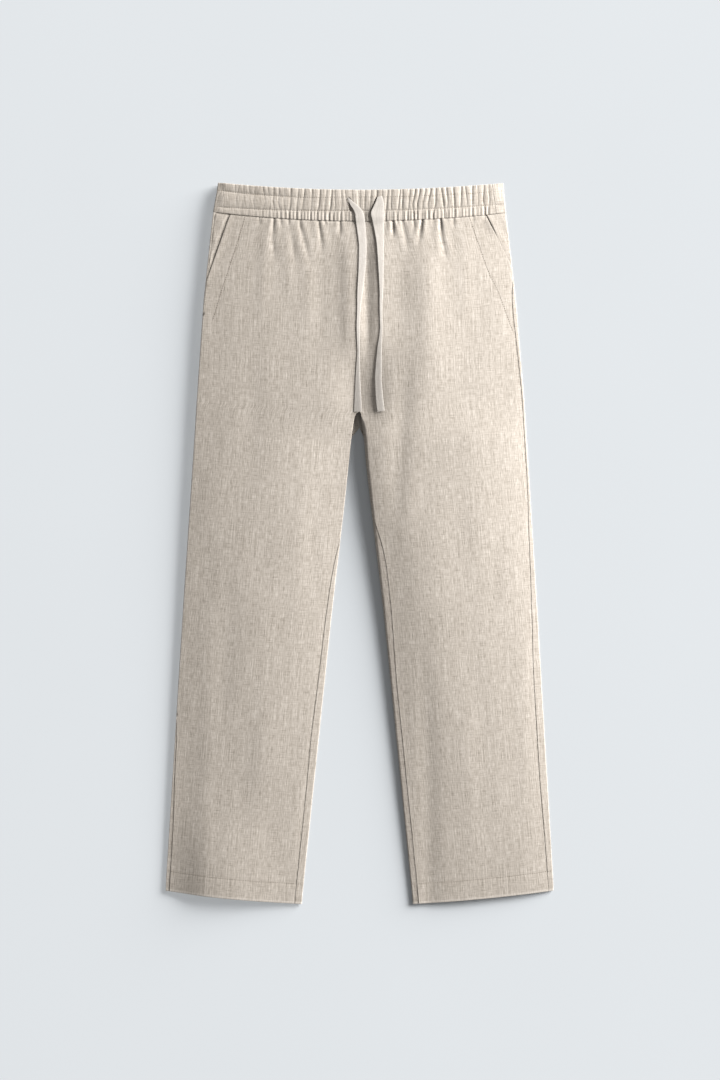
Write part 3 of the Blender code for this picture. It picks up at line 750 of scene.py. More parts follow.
def middle_places(side):
    """Places across a front at the waist, close together at the creases."""
    first = edges(side, "front", 0.0)[0] + TOWARDS_CENTRE[side] * (POCKETS[side].waist_inset + 6)
    last = -TOWARDS_CENTRE[side] * 17.0
    low, high = min(first, last), max(first, last)
    places = list(np.arange(low + 2, high - 1, 1.9))
    for crease in CREASES[side]:
        places += [crease.x_start + off for off in (-2.6, -1.4, -0.7, 0.0, 0.7, 1.4, 2.6)]
    places = sorted(place for place in places if low + 1 < place < high - 1)
    kept = [places[0]]
    for place in places[1:]:
        if place - kept[-1] > 0.45:
            kept.append(place)
    return np.sort((np.array(kept) - first) / (last - first))


def row_points(side, layer, down, outer_arcs, inner_arcs, shares, middle_z):
    """A row across a panel: beside its outer edge, in the middle, and beside its inner edge."""
    outer_x, outer_z = edge_points(side, layer, down, "outer", outer_arcs)
    inner_x, inner_z = edge_points(side, layer, down, "inner", inner_arcs)
    x = outer_x[-1] + (inner_x[0] - outer_x[-1]) * shares
    z = np.concatenate([outer_z, middle_z(side, x, down), inner_z])
    x = np.concatenate([outer_x, x, inner_x])
    return np.stack([x, y_at(side, x, down), z], axis=-1)


def front_row(side, down, shares):
    end = arc_on_edge(side, "outer", outer_end_inset(side, down), down) + END
    outer_zone = max(zone_arc(side, "front", "outer", down), end + 5.0)
    inner_end = seam_arc(side, "inseam", down) + END
    outer_arcs = np.linspace(end, outer_zone, 22)
    inner_arcs = np.linspace(zone_arc(side, "front", "inner", down), inner_end, 24)
    return row_points(side, "front", down, outer_arcs, inner_arcs, shares, top_z)


def under_row(side, down, outer_end, inner_end, counts=(34, 26, 70)):
    """A row of the cloth underneath, with so many points beside its two edges and in the middle."""
    outer_arcs = np.linspace(outer_end, -zone_arc(side, "back", "outer", down), counts[0])
    inner_arcs = np.linspace(-zone_arc(side, "back", "inner", down), inner_end, counts[1])
    shares = np.linspace(0, 1, counts[2] + 2)[1:-1]
    return row_points(side, "back", down, outer_arcs, inner_arcs, shares, resting_z)


def back_row(side, down):
    return under_row(side, down, seam_arc(side, "side", down) - END, seam_arc(side, "inseam", down) - END)


def seam_step(side, x, down):
    total = np.zeros_like(x)
    outer, inner = edges(side, "front", down)
    for seam, edge_x, inward in (("side", outer, 1.0), ("inseam", inner, -1.0)):
        inset = seam_inset(side, seam, down)
        off = x - (edge_x + TOWARDS_CENTRE[side] * inward * inset)
        step = np.where(off > 0, SEAM_RISE, -SEAM_DROP) * np.exp(-np.abs(off) / SEAM_FADE)
        total += float(smooth(inset, 0.0, 2.5)) * step
    return total


def pocket_depth(side, down):
    """How far the facing lies below the edge of its pocket opening."""
    pocket = POCKETS[side]
    return pocket.deep + (pocket.shallow - pocket.deep) * float(smooth(down, pocket.open, pocket.closed))


def front_lift(side, x, down):
    """How far a front's cloth stands off its smooth form."""
    outer, inner = edges(side, "front", down)
    from_outer = np.abs(x - outer)
    from_edge = np.minimum(from_outer, np.abs(x - inner))
    parted = smooth(down, FORK["front"] - 10, FORK["front"] + 40)
    free = smooth(from_edge * parted + from_outer * (1 - parted), 3, 22)
    soft = FRONT_UNEVENNESS * unevenness(x, down) * (0.5 + 0.5 * smooth(down, 60, 200))
    lift = lap_dip(down) + free * (roll_relief(side, x, down) + soft)
    lift += crease_relief(side, x, down) + seam_step(side, x, down)
    lift += 0.9 * groove_relief(x, 3.0) * math.exp(-max(down, 0.0) / 5.0)
    if down < POCKET_LINES[side]["down"][-1]:
        lift -= POCKET_LINE_DEPTH * bell(x - column(POCKET_LINES[side], "x", down), 1.2)
    from_hem = SIDE_LENGTH - down
    lift += HEM_RISE * (1 - smooth(from_hem, HEM_WIDTH - 5, HEM_WIDTH + 5))
    lift -= HEM_LINE_DEPTH * bell(from_hem - HEM_WIDTH, 1.5)
    if down < POCKETS[side].foot:
        lip = POCKET_LIP * pocket_depth(side, down) * smooth(down, 0, 12)
        lift += lip * (1 - smooth(from_outer - outer_end_inset(side, down), 1.0, 9.0))
    pucker = np.sin(down / 1.75 + 1.5 * np.sin(down / 23.0))
    return lift + FRONT_PUCKER * pucker * np.exp(-from_edge / 6.0) * (1 - smooth(down, 940, SIDE_LENGTH))


def back_lift(side, x, z, down):
    """A back's relief. Underneath it is all pressed inwards, so that the trousers still rest flat."""
    under = z < UNDER_Z
    ripples = UNDER_RIPPLES * pressed_ripples(x, UNDER_RIPPLE_PITCH) * math.exp(-down / 16.0)
    soft = UNDER_UNEVENNESS * (0.5 * unevenness(1.3 * x + 40, down) - 0.5) * smooth(down, 0, 60)
    hem_groove = UNDER_HEM_LINE_DEPTH * bell(SIDE_LENGTH - down - HEM_WIDTH, 1.3)
    pucker = BACK_PUCKER * np.sin(down / 1.9 + 1.2 * np.sin(down / 19.0))
    lift = np.where(under, ripples + soft - hem_groove, pucker) + (z > 2.5) * seam_step(side, x, down)
    return np.minimum(lift, np.where(under, 0.0, 1.0))


def pale_hem_and_painted_light_edge(side, points, downs):
    """1 where the colour is made paler and 0 elsewhere: on the hem's fold, and as painted light on the left
    outer fold, which faces away from the light.
    """
    near_hem = 1 - smooth(SIDE_LENGTH - downs, 0.8, 3.5)
    pale = np.repeat(near_hem[:, None], points.shape[1], axis=1)
    # Painted light: the left side's outer fold faces away from the light, and its colour is made paler to
    # lift its shade.
    if side == "left":
        near_side = [from_outer_edge(side, row[:, 0], down) for row, down in zip(points, downs)]
        pale = np.maximum(pale, 1 - smooth(np.array(near_side), 0.5, 2.2))
    return pale


def panel(side, points, downs, outward, lift):
    """A front or a back, before and after its edges are turned in, and the side that faces out."""
    base = make_sheet(points, downs, outward, lift, pale_hem_and_painted_light_edge(side, points, downs))
    sheet = sewn_edges(base, PANEL_TUCK)
    return base, turned_edge(sheet, "last_row", HEM_RADIUS, HEM_TUCK), outward


def front(side):
    shares = middle_places(side)
    points = np.array([front_row(side, down, shares) for down in FRONT_DOWNS])
    lift = [front_lift(side, row[:, 0], down) for row, down in zip(points, FRONT_DOWNS)]
    return panel(side, points, FRONT_DOWNS, -TOWARDS_CENTRE[side], np.array(lift))


def back(side):
    points = np.array([back_row(side, down) for down in PANEL_DOWNS])
    lift = [back_lift(side, row[:, 0], row[:, 2], down) for row, down in zip(points, PANEL_DOWNS)]
    return panel(side, points, PANEL_DOWNS, TOWARDS_CENTRE[side], np.array(lift))


def pocket_facing(side):
    """The cloth that shows in a pocket opening. It runs on under the front."""
    pocket = POCKETS[side]
    downs = np.concatenate([[-LAP, END, 1.2], np.linspace(2.0, pocket.foot + 6, 60)])
    rows = []
    for down in downs:
        start = seam_arc(side, "side", down) + END
        opening = arc_on_edge(side, "outer", outer_end_inset(side, down), down)
        arcs = np.linspace(start, opening + 12.0, 40)
        x, z = edge_points(side, "front", down, "outer", arcs)
        slope = smooth(arcs, max(opening - pocket.slope, start), opening + 0.5)
        rows.append(np.stack([x, y_at(side, x, down), z - pocket_depth(side, down) * slope], axis=-1))
    points = np.array(rows)
    lift = 0.12 * np.sin(points[..., 1] / 6.0 + points[..., 0] / 4.0) + lap_dip(downs)[:, None]
    base = make_sheet(points, downs, -TOWARDS_CENTRE[side], lift)
    return base, sewn_edges(base, WAIST_TUCK, ("first_column",)), -TOWARDS_CENTRE[side]


# ---- Waistband ----

BAND_TOP = BAND_SIDE_RISE
BAND_LEVELS = np.concatenate([[END], np.linspace(1.6, BAND_TOP - 1.6, 48)])
FRONT_BAND_EDGE = 1.5
BACK_BAND_EDGE = 1.3
BAND_FRONT_SHARES = np.linspace(0, 1, 620)
BAND_BACK_COUNTS = (40, 4, 170)
# The band's top is turned in least at its two folded ends, where there is little room.
BAND_LEAST_TUCK = 1.0
BAND_MORE_TUCK = 20.0
# How far the cloth swells between the waist seam, the two rows of stitching and the top.
LOW_PUFF = 0.6
MIDDLE_PUFF = 1.0
TOP_PUFF = 0.9
WIDE_PUFF = 1.2
FLARE = 0.5
ROW_DEPTH = 0.3
UNDER_BAND_RIPPLES = 1.1
UNDER_BAND_PITCH = 8.3
UNDER_ROW_DEPTH = 0.35
PRESSED_SHARE = 0.45  # of the gathers' depth is left in a row of stitching
PRESSED_WIDTH = 4.0
STITCH_DENT = 0.9


def on_band(measure, x, level):
    """A measure of the left side where x is below 0, and of the right side elsewhere."""
    return np.where(x < 0, measure("left", x, -level), measure("right", x, -level))


def stitch_levels(x):
    return column(BAND_ROWS, "upper", x, "x"), column(BAND_ROWS, "lower", x, "x")


def puff(level, start, end, height):
    """A strip of cloth that swells between two rows of stitching."""
    share = np.clip((level - start) / (end - start), 0, 1)
    return height * np.sin(math.pi * share) ** 0.7


def pressed(nearest):
    """The share of the gathers' depth that is left this far from a row of stitching."""
    return PRESSED_SHARE + (1 - PRESSED_SHARE) * smooth(nearest, 0.0, PRESSED_WIDTH)


def band_lift(x, level):
    upper, lower = stitch_levels(x)
    flat_part = 1 - smooth(x, -115.0, -50.0)
    strips = puff(level, lower, upper, MIDDLE_PUFF) + puff(level, upper, 46.0, TOP_PUFF)
    lift = puff(level, -2.0, lower, LOW_PUFF)
    lift = lift + flat_part * strips + (1 - flat_part) * puff(level, lower, 48.0, WIDE_PUFF)
    flare = FLARE * (1 - smooth(x, -120.0, -60.0)) * smooth(level, upper, 44.0)
    nearest = np.minimum(np.abs(level - upper) + 4.0 * (1 - flat_part), np.abs(level - lower))
    ends = smooth(x, -192.0, -186.0) * (1 - smooth(x, 184.0, 190.0))
    strength = GROOVE_DEPTH * (0.6 + 0.4 * smooth(x, -110.0, -70.0))
    gathers = strength * np.tanh(groove_relief(x, level)) + fine_gathers(x, level)
    total = lift + flare + pressed(nearest) * gathers * ends - ROW_DEPTH * bell(nearest, STITCH_DENT)
    return total * smooth(on_band(from_outer_edge, x, level), 0.3, 12.0)


def slit_relief(x, level):
    """The cloth dips into the slits that the drawstrings come out of."""
    total = np.zeros_like(x)
    for slit in SLITS:
        share = np.clip((slit.level_top - level) / (slit.level_top - slit.level_low), 0, 1)
        line = slit.x_top + (slit.x_low - slit.x_top) * share
        ends = smooth(level, slit.level_low - 3.0, slit.level_low + 3.0)
        ends = ends * (1 - smooth(level, slit.level_top - 3.0, slit.level_top + 1.0))
        total -= slit.depth * ends * bell(x - line, slit.width)
    return total


def band(rows, lift, outward, edge_radius):
    """A piece of the waistband, before and after its edges are turned in, and the side that faces out."""
    base = make_sheet(np.array(rows), -BAND_LEVELS, outward, np.array(lift))
    sheet = sewn_edges(base, WAIST_TUCK)
    room = on_band(from_outer_edge, sheet.points[-1, :, 0], BAND_TOP)
    tuck = BAND_LEAST_TUCK + BAND_MORE_TUCK * smooth(room, 3.0, 20.0)
    return base, turned_edge(sheet, "last_row", edge_radius, tuck, steps=8), outward


def waistband_front():
    rows, lift = [], []
    for level in BAND_LEVELS:
        start = column(BAND_ENDS, "left", level, "level") + END
        end = column(BAND_ENDS, "right", level, "level") - END
        x = start + (end - start) * BAND_FRONT_SHARES
        rows.append(np.stack([x, on_band(y_at, x, level), on_band(top_z, x, level)], axis=-1))
        lift.append(band_lift(x, level) + slit_relief(x, level))
    return band(rows, lift, 1.0, FRONT_BAND_EDGE)


def waistband_back():
    rows, lift = [], []
    for level in BAND_LEVELS:
        halves = []
        for side in ("left", "right"):
            inset = float(from_outer_edge(side, column(BAND_ENDS, side, level, "level"), -level))
            end = arc_on_edge(side, "outer", inset, -level) - END
            halves.append(under_row(side, -level, end, 0.0, BAND_BACK_COUNTS))
        row = np.concatenate([halves[0], halves[1][-2::-1]])
        x, z = row[:, 0], row[:, 2]
        row[:, 1] = on_band(y_at, x, level)
        rows.append(row)
        upper, lower = stitch_levels(x)
        nearest = np.minimum(np.abs(level - upper), np.abs(level - lower))
        under = UNDER_BAND_RIPPLES * pressed_ripples(x, UNDER_BAND_PITCH) * pressed(nearest)
        under -= UNDER_ROW_DEPTH * bell(nearest, STITCH_DENT)
        lift.append(np.where(z < 1.0, under, np.where(z > 4.0, band_lift(x, level), 0.0)))
    return band(rows, lift, -1.0, BACK_BAND_EDGE)


# ---- Stitching ----

STITCH_LENGTH = 2.4
STITCH_PITCH = 3.2
STITCH_RADIUS = 0.24
STITCH_SIDES = 5
# Where a stitch's rings lie along it, and how thick it is there.
STITCH_RINGS = ((0.12, 0.8), (0.5, 1.25), (0.88, 0.8))


def on_sheet(sheet, rows, columns):
    """Points and normals at these fractional rows and columns of a sheet."""
    rows = np.clip(rows, 0, len(sheet.points) - 1.001)
    columns = np.clip(columns, 0, sheet.points.shape[1] - 1.001)
    r, c = rows.astype(int), columns.astype(int)
    u, v = (rows - r)[:, None], (columns - c)[:, None]

    def blend(grid):
        near = grid[r, c] * (1 - v) + grid[r, c + 1] * v
        far = grid[r + 1, c] * (1 - v) + grid[r + 1, c + 1] * v
        return near * (1 - u) + far * u

    return blend(sheet.points), unit(blend(sheet.normals))


def along_line(values, travelled, at):
    return np.array([np.interp(at, travelled, values[:, axis]) for axis in range(3)])


def stitched_line(points, normals):
    """Vertices and faces of a row of short rounded stitches along a line on the cloth."""
    travelled = distances(points)
    vertices, faces = [], []
    for start in np.arange(0.5, travelled[-1] - STITCH_LENGTH, STITCH_PITCH):
        near, far = (along_line(points, travelled, at) for at in (start, start + STITCH_LENGTH))
        normal = along_line(normals, travelled, start)
        sideways = unit(np.cross(unit(far - near), normal))
        first = len(vertices)
        vertices.append(near - normal * STITCH_RADIUS)
        for share, swell in STITCH_RINGS:
            centre = near + (far - near) * share + normal * STITCH_RADIUS * 0.4
            for k in range(STITCH_SIDES):
                turn = 2 * math.pi * k / STITCH_SIDES
                offset = sideways * math.cos(turn) + normal * math.sin(turn)
                vertices.append(centre + offset * STITCH_RADIUS * swell)
        vertices.append(far - normal * STITCH_RADIUS)
        last = len(vertices) - 1
        tail = last - STITCH_SIDES
        for k in range(STITCH_SIDES):
            after = (k + 1) % STITCH_SIDES
            faces.append((first, first + 1 + after, first + 1 + k))
            for a in (first + 1, first + 1 + STITCH_SIDES):
                b = a + STITCH_SIDES
                faces.append((a + k, a + after, b + after, b + k))
            faces.append((last, tail + k, tail + after))
    return vertices, faces


def add_stitching(name, lines, material):
    vertices, faces = [], []
    for points, normals in lines:
        more_vertices, more_faces = stitched_line(points, normals)
        faces += [tuple(index + len(vertices) for index in face) for face in more_faces]
        vertices += more_vertices
    return add_mesh(name, vertices, faces, material)


def rows_at(places, downs):
    """Fractional rows of a sheet at these distances down, or at these levels of the waistband."""
    return np.interp(places, downs, np.arange(len(downs)))


def hem_line(sheet, downs):
    columns = np.linspace(0, sheet.points.shape[1] - 1, 400)
    return on_sheet(sheet, np.full(400, rows_at(SIDE_LENGTH - HEM_WIDTH, downs)), columns)


def pocket_line(side, sheet):
    """The line of stitching that holds a pocket to its front."""
    downs = np.linspace(1.0, POCKET_LINES[side]["down"][-1], 120)
    rows = rows_at(downs, FRONT_DOWNS)
    columns = []
    for down, row in zip(downs, rows):
        x = sheet.points[int(row), :, 0] * TOWARDS_CENTRE[side]
        target = column(POCKET_LINES[side], "x", down) * TOWARDS_CENTRE[side]
        columns.append(np.interp(target, x, np.arange(len(x))))
    return on_sheet(sheet, rows, np.array(columns))


def band_lines(sheet):
    """Both rows of stitching of a waistband piece."""
    count = sheet.points.shape[1]
    columns = np.linspace(0, count - 1, 900)
    x = np.interp(columns, np.arange(count), sheet.points[len(BAND_LEVELS) // 2, :, 0])
    return [on_sheet(sheet, rows_at(level, BAND_LEVELS), columns) for level in stitch_levels(x)]


# ---- Drawstrings ----

TAPE_TOP = (
    (-0.5, 0.0),
    (-0.49, 0.36),
    (-0.44, 0.5),
    (-0.36, 0.42),
    (-0.2, 0.5),
    (0.2, 0.5),
    (0.44, 0.5),
    (0.49, 0.36),
    (0.5, 0.0),
)
TAPE_OUTLINE = TAPE_TOP + tuple((a, -b) for a, b in TAPE_TOP[-2:0:-1])
TAPE_SECTIONS = 150
TAPE_GRAIN_WIDTH = 13.0
TAPE_GRAIN_PLACE = 40.0  # away from the panels' part of the weave
SHARP_ANGLE = 50.0
BAND_OVER_PANEL = 1.3


def through(values, place):
    """A smooth curve through the values, read at this place from 0 to len(values) - 1."""
    index = min(int(place), len(values) - 2)
    share = place - index
    before = values[max(index - 1, 0)]
    first, second = values[index], values[index + 1]
    after = values[min(index + 2, len(values) - 1)]
    return 0.5 * (
        2 * first
        + (second - before) * share
        + (2 * before - 5 * first + 4 * second - after) * share**2
        + (3 * first - before - 3 * second + after) * share**3
    )


def cloth_height(x, down):
    """z of the highest cloth under this point of the front."""
    here = np.array([x])
    side = side_of(x)
    height = float(top_z(side, here, down)[0]) + float(roll_relief(side, here, down)[0])
    return height + BAND_OVER_PANEL * float(smooth(-down, -6.0, 6.0))


def tape_route(side):
    """Centres along a drawstring, and its width and the direction across it at each."""
    columns = list(zip(*TAPES[side]))
    centres, widths = [], []
    for place in np.linspace(0, len(TAPES[side]) - 1, TAPE_SECTIONS):
        down, x, yaw, roll, width, lift = (through(values, place) for values in columns)
        yaw, roll = math.radians(yaw), math.radians(roll)
        across = np.array([math.cos(roll) * math.cos(yaw), math.cos(roll) * math.sin(yaw), -math.sin(roll)])
        under = [
            cloth_height(x + share * width / 2 * across[0], down - share * width / 2 * across[1])
            for share in (-1, -0.5, 0, 0.5, 1)
        ]
        z = max(under) + TAPE_CLEARANCE + TAPE_THICKNESS / 2 + abs(width / 2 * across[2]) + lift
        centres.append((x, float(y_at(side_of(x), np.array([x]), down)[0]), z))
        widths.append((width, across))
    return np.array(centres), widths


def add_tape(side, material):
    """A drawstring: a flat tube of cloth along its route, and the line that it follows."""
    centres, widths = tape_route(side)
    travelled = distances(centres)
    forwards = unit(np.gradient(centres, axis=0))
    points, grain = [], []
    for centre, (width, across), forward, distance in zip(centres, widths, forwards, travelled):
        sideways = unit(across - forward * np.dot(across, forward))
        up = np.cross(sideways, -forward)
        for a, b in TAPE_OUTLINE:
            points.append(centre + sideways * width * a + up * TAPE_THICKNESS * b)
            grain.append((TAPE_GRAIN_WIDTH * a, -distance, TAPE_GRAIN_PLACE))
    ring = len(TAPE_OUTLINE)
    last = (len(centres) - 1) * ring
    faces = []
    for a in range(0, last, ring):
        b = a + ring
        for k in range(ring):
            after = (k + 1) % ring
            faces.append((a + k, b + k, b + after, a + after))
    faces.append(tuple(range(ring))[::-1])
    faces.append(tuple(range(last, last + ring)))
    tape = add_mesh("tape_" + side, points, faces, material, grain)
    tape.data.set_sharp_from_angle(angle=math.radians(SHARP_ANGLE))
    return tape, centres * MM, travelled[-1] * MM


# ---- Materials ----

LINEN_COLOUR = (0.57, 0.517, 0.457)
# Partly painted light: the drawstrings' paler colour stands in for the light on their upper part, which lies
# nearly flat instead of turned towards the light.
TAPE_COLOUR = (0.66, 0.62, 0.575)
PALE_THREAD = (0.4, 0.345, 0.285)
# Painted shade: this darker thread stands in for the shadow along the left pocket's stitched groove, which
# the cloth is too coarse to hold.
THREAD_WITH_PAINTED_SHADE = (0.2, 0.155, 0.115)
FLOOR_COLOUR = (0.722, 0.762, 0.802)
WEAVE_PITCH = 0.9


def node(tree, kind, settings=None, **inputs):
    """Adds a node. Inputs are named in lower case with _ for a space, or _0, _1 by number."""
    made = tree.nodes.new(kind)
    for name, value in (settings or {}).items():
        setattr(made, name, value)
    for name, value in inputs.items():
        if name[1:].isdigit():
            socket = made.inputs[int(name[1:])]
        else:
            socket = next(s for s in made.inputs if s.name.lower().replace(" ", "_") == name and s.enabled)
        if isinstance(value, bpy.types.NodeSocket):
            tree.links.new(value, socket)
        else:
            socket.default_value = value
    return made


def threads(tree, grain, across, along, shift, detail=1.0):
    """Noise drawn out into threads: cells this wide and this long, in millimetres."""
    scale = (1 / (across * MM), 1 / (along * MM), 1.0)
    mapped = node(tree, "ShaderNodeMapping", vector=grain, scale=scale, location=(shift, shift, shift))
    vector = mapped.outputs[0]
    noise = node(tree, "ShaderNodeTexNoise", vector=vector, scale=1.0, detail=detail, roughness=0.5)
    return noise.outputs[0]


def maths(tree, operation, first, second=0.0):
    return node(tree, "ShaderNodeMath", {"operation": operation}, _0=first, _1=second).outputs[0]


def total_of(tree, *values):
    total = values[0]
    for value in values[1:]:
        total = maths(tree, "ADD", total, value)
    return total


def remap(tree, value, low, high, to_low, to_high):
    made = node(tree, "ShaderNodeMapRange", _0=value, _1=low, _2=high, _3=to_low, _4=to_high)
    return made.outputs[0]


def new_material(name):
    material = bpy.data.materials.new(name)
    material.use_nodes = True
    return material, material.node_tree, material.node_tree.nodes["Principled BSDF"]


def set_colour(tree, shader, colour, factor):
    scaled = node(tree, "ShaderNodeVectorMath", {"operation": "SCALE"}, vector=colour, scale=factor)
    tree.links.new(scaled.outputs[0], shader.inputs["Base Color"])


def set_bumps(tree, shader, strength, distance, height):
    bump = node(tree, "ShaderNodeBump", strength=strength, distance=distance * MM, height=height)
    tree.links.new(bump.outputs[0], shader.inputs["Normal"])


def speckle(tree, scale, detail, low, high):
    """Noise in the object's own space, and the same noise between two levels."""
    place = node(tree, "ShaderNodeTexCoord").outputs["Object"]
    noise = node(tree, "ShaderNodeTexNoise", vector=place, scale=scale, detail=detail).outputs[0]
    return noise, remap(tree, noise, 0.3, 0.7, low, high)


def linen(name, colour, contrast, roughness=0.9):
    """Plain-woven linen: uneven threads both ways, slubs, soft patches and the weave's own bumps."""
    material, tree, shader = new_material(name)
    grain = node(tree, "ShaderNodeAttribute", {"attribute_name": "grain"}).outputs["Vector"]
    pale = node(tree, "ShaderNodeAttribute", {"attribute_name": "pale"}).outputs["Fac"]

    warp = threads(tree, grain, 0.7, 9.0, 3.0)
    warp_long = threads(tree, grain, 0.9, 60.0, 11.0)
    weft = threads(tree, grain, 14.0, 0.8, 23.0)
    patch = threads(tree, grain, 14.0, 30.0, 31.0)
    slub = threads(tree, grain, 1.3, 16.0, 47.0, detail=0.0)
    cross_slub = threads(tree, grain, 14.0, 1.2, 61.0, detail=0.0)

    parts = [
        remap(tree, value, 0.25, 0.75, -strength * contrast, strength * contrast)
        for value, strength in ((warp, 0.15), (warp_long, 0.13), (weft, 0.1), (patch, 0.008))
    ]
    parts += [
        remap(tree, value, low, high, 0.0, strength * contrast)
        for value, low, high, strength in (
            (slub, 0.68, 0.80, 0.12),
            (slub, 0.30, 0.20, -0.14),
            (cross_slub, 0.31, 0.22, -0.12),
        )
    ]
    # pale lightens the colour: painted light on the left side's outer fold, and a paler hem fold.
    tone = total_of(tree, *parts, maths(tree, "MULTIPLY", pale, 0.4))
    mixed = node(
        tree,
        "ShaderNodeMix",
        {"data_type": "RGBA"},
        _0=remap(tree, tone, -0.35, 0.25, 0.0, 1.0),
        _6=(colour[0] * 0.99, colour[1] * 0.965, colour[2] * 0.93, 1),
        _7=(colour[0], colour[1] * 1.01, colour[2] * 1.03, 1),
    )
    set_colour(tree, shader, mixed.outputs[2], maths(tree, "ADD", tone, 1.0))

    split = node(tree, "ShaderNodeSeparateXYZ", vector=grain)
    pitch = 2 * math.pi / (WEAVE_PITCH * MM)
    over, across = (
        maths(tree, "SINE", maths(tree, "MULTIPLY", split.outputs[axis], pitch)) for axis in (0, 1)
    )
    weave = maths(tree, "MULTIPLY", over, across)
    heights = [
        maths(tree, "MULTIPLY", value, share) for value, share in ((weave, 0.25), (warp, 0.9), (weft, 0.6))
    ]
    set_bumps(tree, shader, 0.35, 0.12, total_of(tree, *heights))
    rough = remap(tree, warp, 0.3, 0.7, roughness - 0.05, roughness + 0.05)
    tree.links.new(rough, shader.inputs["Roughness"])
    shader.inputs["Specular IOR Level"].default_value = 0.2
    shader.inputs["Sheen Weight"].default_value = 0.12
    shader.inputs["Sheen Roughness"].default_value = 0.5
    return material


def thread_material(name, colour):
    """Matte sewing thread, a little darker than the cloth, with its twist as fine bumps."""
    material, tree, shader = new_material(name)
    noise, value = speckle(tree, 900.0, 1.0, 0.88, 1.1)
    set_colour(tree, shader, colour, value)
    set_bumps(tree, shader, 0.4, 0.05, noise)
    shader.inputs["Roughness"].default_value = 0.8
    shader.inputs["Specular IOR Level"].default_value = 0.25
    return material


def floor_material():
    material, tree, shader = new_material("pale_floor")
    _, value = speckle(tree, 3.0, 2.0, 0.995, 1.005)
    set_colour(tree, shader, FLOOR_COLOUR, value)
    shader.inputs["Roughness"].default_value = 0.95
    shader.inputs["Specular IOR Level"].default_value = 0.0
    return material


# ---- Camera, light and floor ----

FRAME_HEIGHT = 1522.8
CAMERA_X = 0.7
CAMERA_Y = 4.9
CAMERA_HEIGHT = 2600.0
FRAME_LEVEL = 4.0  # the z at which the frame is FRAME_HEIGHT high
SENSOR = 36.0
CLIP_END = 100.0
FLOOR_HALF = 8000.0
FLOOR_DROP = 0.4

# A light: its name, place by compass and height in degrees, distance in metres, width and height as shares
# of the distance, and strength.
Key = namedtuple("Key", "name azimuth elevation distance width height strength")
CLOTH_KEY = Key("key", 26.0, 16.0, 3.2, 0.9, 0.5, 34.6)
FLOOR_KEY = Key("floor_key", 35.0, 12.0, 60.0, 0.8, 0.42, 29.0)
FLOOR_FILL = Key("floor_fill", 24.0, 10.0, 60.0, 0.6, 0.3, 20.0)
KEY_COLOUR = (1.0, 0.985, 0.965)
SKY_COLOUR = (1.0, 0.99, 0.975, 1)
AMBIENT = 0.2


def add_camera():
    data = bpy.data.cameras.new("camera")
    data.sensor_width = SENSOR
    data.lens = SENSOR * (CAMERA_HEIGHT - FRAME_LEVEL) / FRAME_HEIGHT
    data.clip_end = CLIP_END
    camera = add_object("camera", data)
    camera.location = (CAMERA_X * MM, CAMERA_Y * MM, CAMERA_HEIGHT * MM)
    bpy.context.scene.camera = camera


def add_key(settings):
    """A broad light. Its size and strength grow with its distance."""
    distance = settings.distance
    data = bpy.data.lights.new(settings.name, "AREA")
    data.shape = "RECTANGLE"
    data.size = settings.width * distance
    data.size_y = settings.height * distance
    data.energy = settings.strength * distance**2
    data.color = KEY_COLOUR
    key = add_object(settings.name, data)
    azimuth, elevation = math.radians(settings.azimuth), math.radians(settings.elevation)
    flat = math.cos(elevation)
    towards = Vector((math.cos(azimuth) * flat, math.sin(azimuth) * flat, math.sin(elevation)))
    key.location = towards * distance
    key.rotation_euler = towards.to_track_quat("Z", "Y").to_euler()
    key.visible_camera = False
    return key


def group_of(name, objects):
    group = bpy.data.collections.new(name)
    for thing in objects:
        group.objects.link(thing)
    return group


def lit_only(light, objects):
    """Lets a light reach these objects only. Everything still casts its shadow."""
    light.light_linking.receiver_collection = group_of(light.name + "_receives", objects)


def shaded_only(light, objects):
    """Lets only these objects stand in a light's way."""
    light.light_linking.blocker_collection = group_of(light.name + "_blockers", objects)


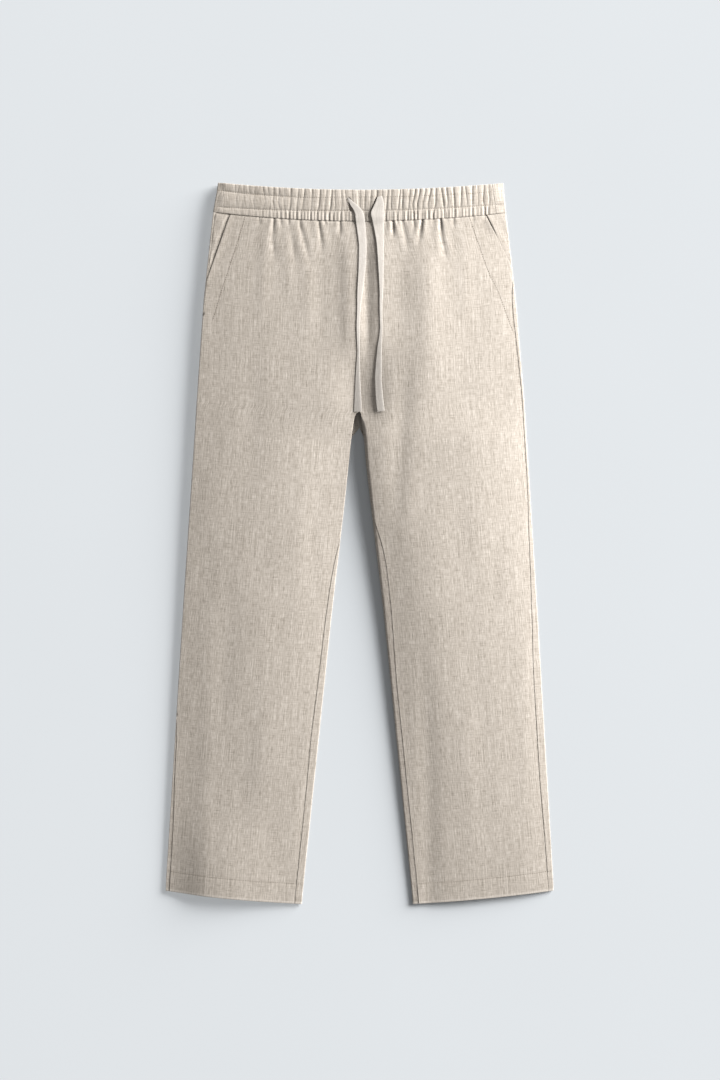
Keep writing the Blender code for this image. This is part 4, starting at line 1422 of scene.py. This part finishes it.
def add_lights(cloth, floor):
    """One light for the cloth, which doesn't bounce off it onto the floor, and two for the floor."""
    key = add_key(CLOTH_KEY)
    key.data.cycles.max_bounces = 0
    lit_only(key, cloth)
    lit_only(add_key(FLOOR_KEY), [floor])
    fill = add_key(FLOOR_FILL)
    lit_only(fill, [floor])
    shaded_only(fill, [piece for piece in cloth if piece.name in ("cloth_front_right", "cloth_back_right")])
    world = bpy.data.worlds.new("world")
    bpy.context.scene.world = world
    world.use_nodes = True
    background = world.node_tree.nodes["Background"]
    background.inputs["Color"].default_value = SKY_COLOUR
    background.inputs["Strength"].default_value = AMBIENT


def add_floor():
    corners = [(x * FLOOR_HALF, y * FLOOR_HALF, 0) for x, y in ((-1, -1), (1, -1), (1, 1), (-1, 1))]
    floor = add_mesh("floor", corners, [(0, 1, 2, 3)], floor_material())
    floor.location = (0, 0, -FLOOR_DROP * MM)
    return floor


# ---- The garment ----


def add_piece(node_name, base, sheet, outward):
    """Puts a sheet of cloth in its CAD node's place."""
    piece = add_sheet("cloth_" + node_name, sheet, outward, linen_cloth)
    cloth.append(piece)
    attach(piece, "root")
    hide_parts(node_name)
    return base


bpy.context.scene.view_settings.view_transform = "Standard"
add_camera()
floor = add_floor()
cloth = []
seams = {}

linen_cloth = linen("linen", LINEN_COLOUR, contrast=1.5)
tape_cloth = linen("tape_linen", TAPE_COLOUR, contrast=0.7, roughness=0.85)
pale_thread = thread_material("thread", PALE_THREAD)
dark_thread = thread_material("dark_thread", THREAD_WITH_PAINTED_SHADE)

for side in ("left", "right"):
    tape, path, length = add_tape(side, tape_cloth)
    cloth.append(tape)
    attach(tape, "root")
    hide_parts("drawstring_" + side)

for side in ("left", "right"):
    base = add_piece("front_" + side, *front(side))
    seams["front_" + side] = [hem_line(base, FRONT_DOWNS)]
    seams["pocket_" + side] = [pocket_line(side, base)]
    base = add_piece("back_" + side, *back(side))
    seams["back_" + side] = [hem_line(base, PANEL_DOWNS)]
    add_piece("pocket_facing_" + side, *pocket_facing(side))
seams["waistband_front"] = band_lines(add_piece("waistband_front", *waistband_front()))
seams["waistband_back"] = band_lines(add_piece("waistband_back", *waistband_back()))
for name, lines in seams.items():
    # Painted shade: only the left pocket's stitching gets the darkened thread.
    thread = dark_thread if name == "pocket_left" else pale_thread
    stitching = add_stitching("stitching_" + name, lines, thread)
    cloth.append(stitching)
    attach(stitching, "root")

add_lights(cloth, floor)
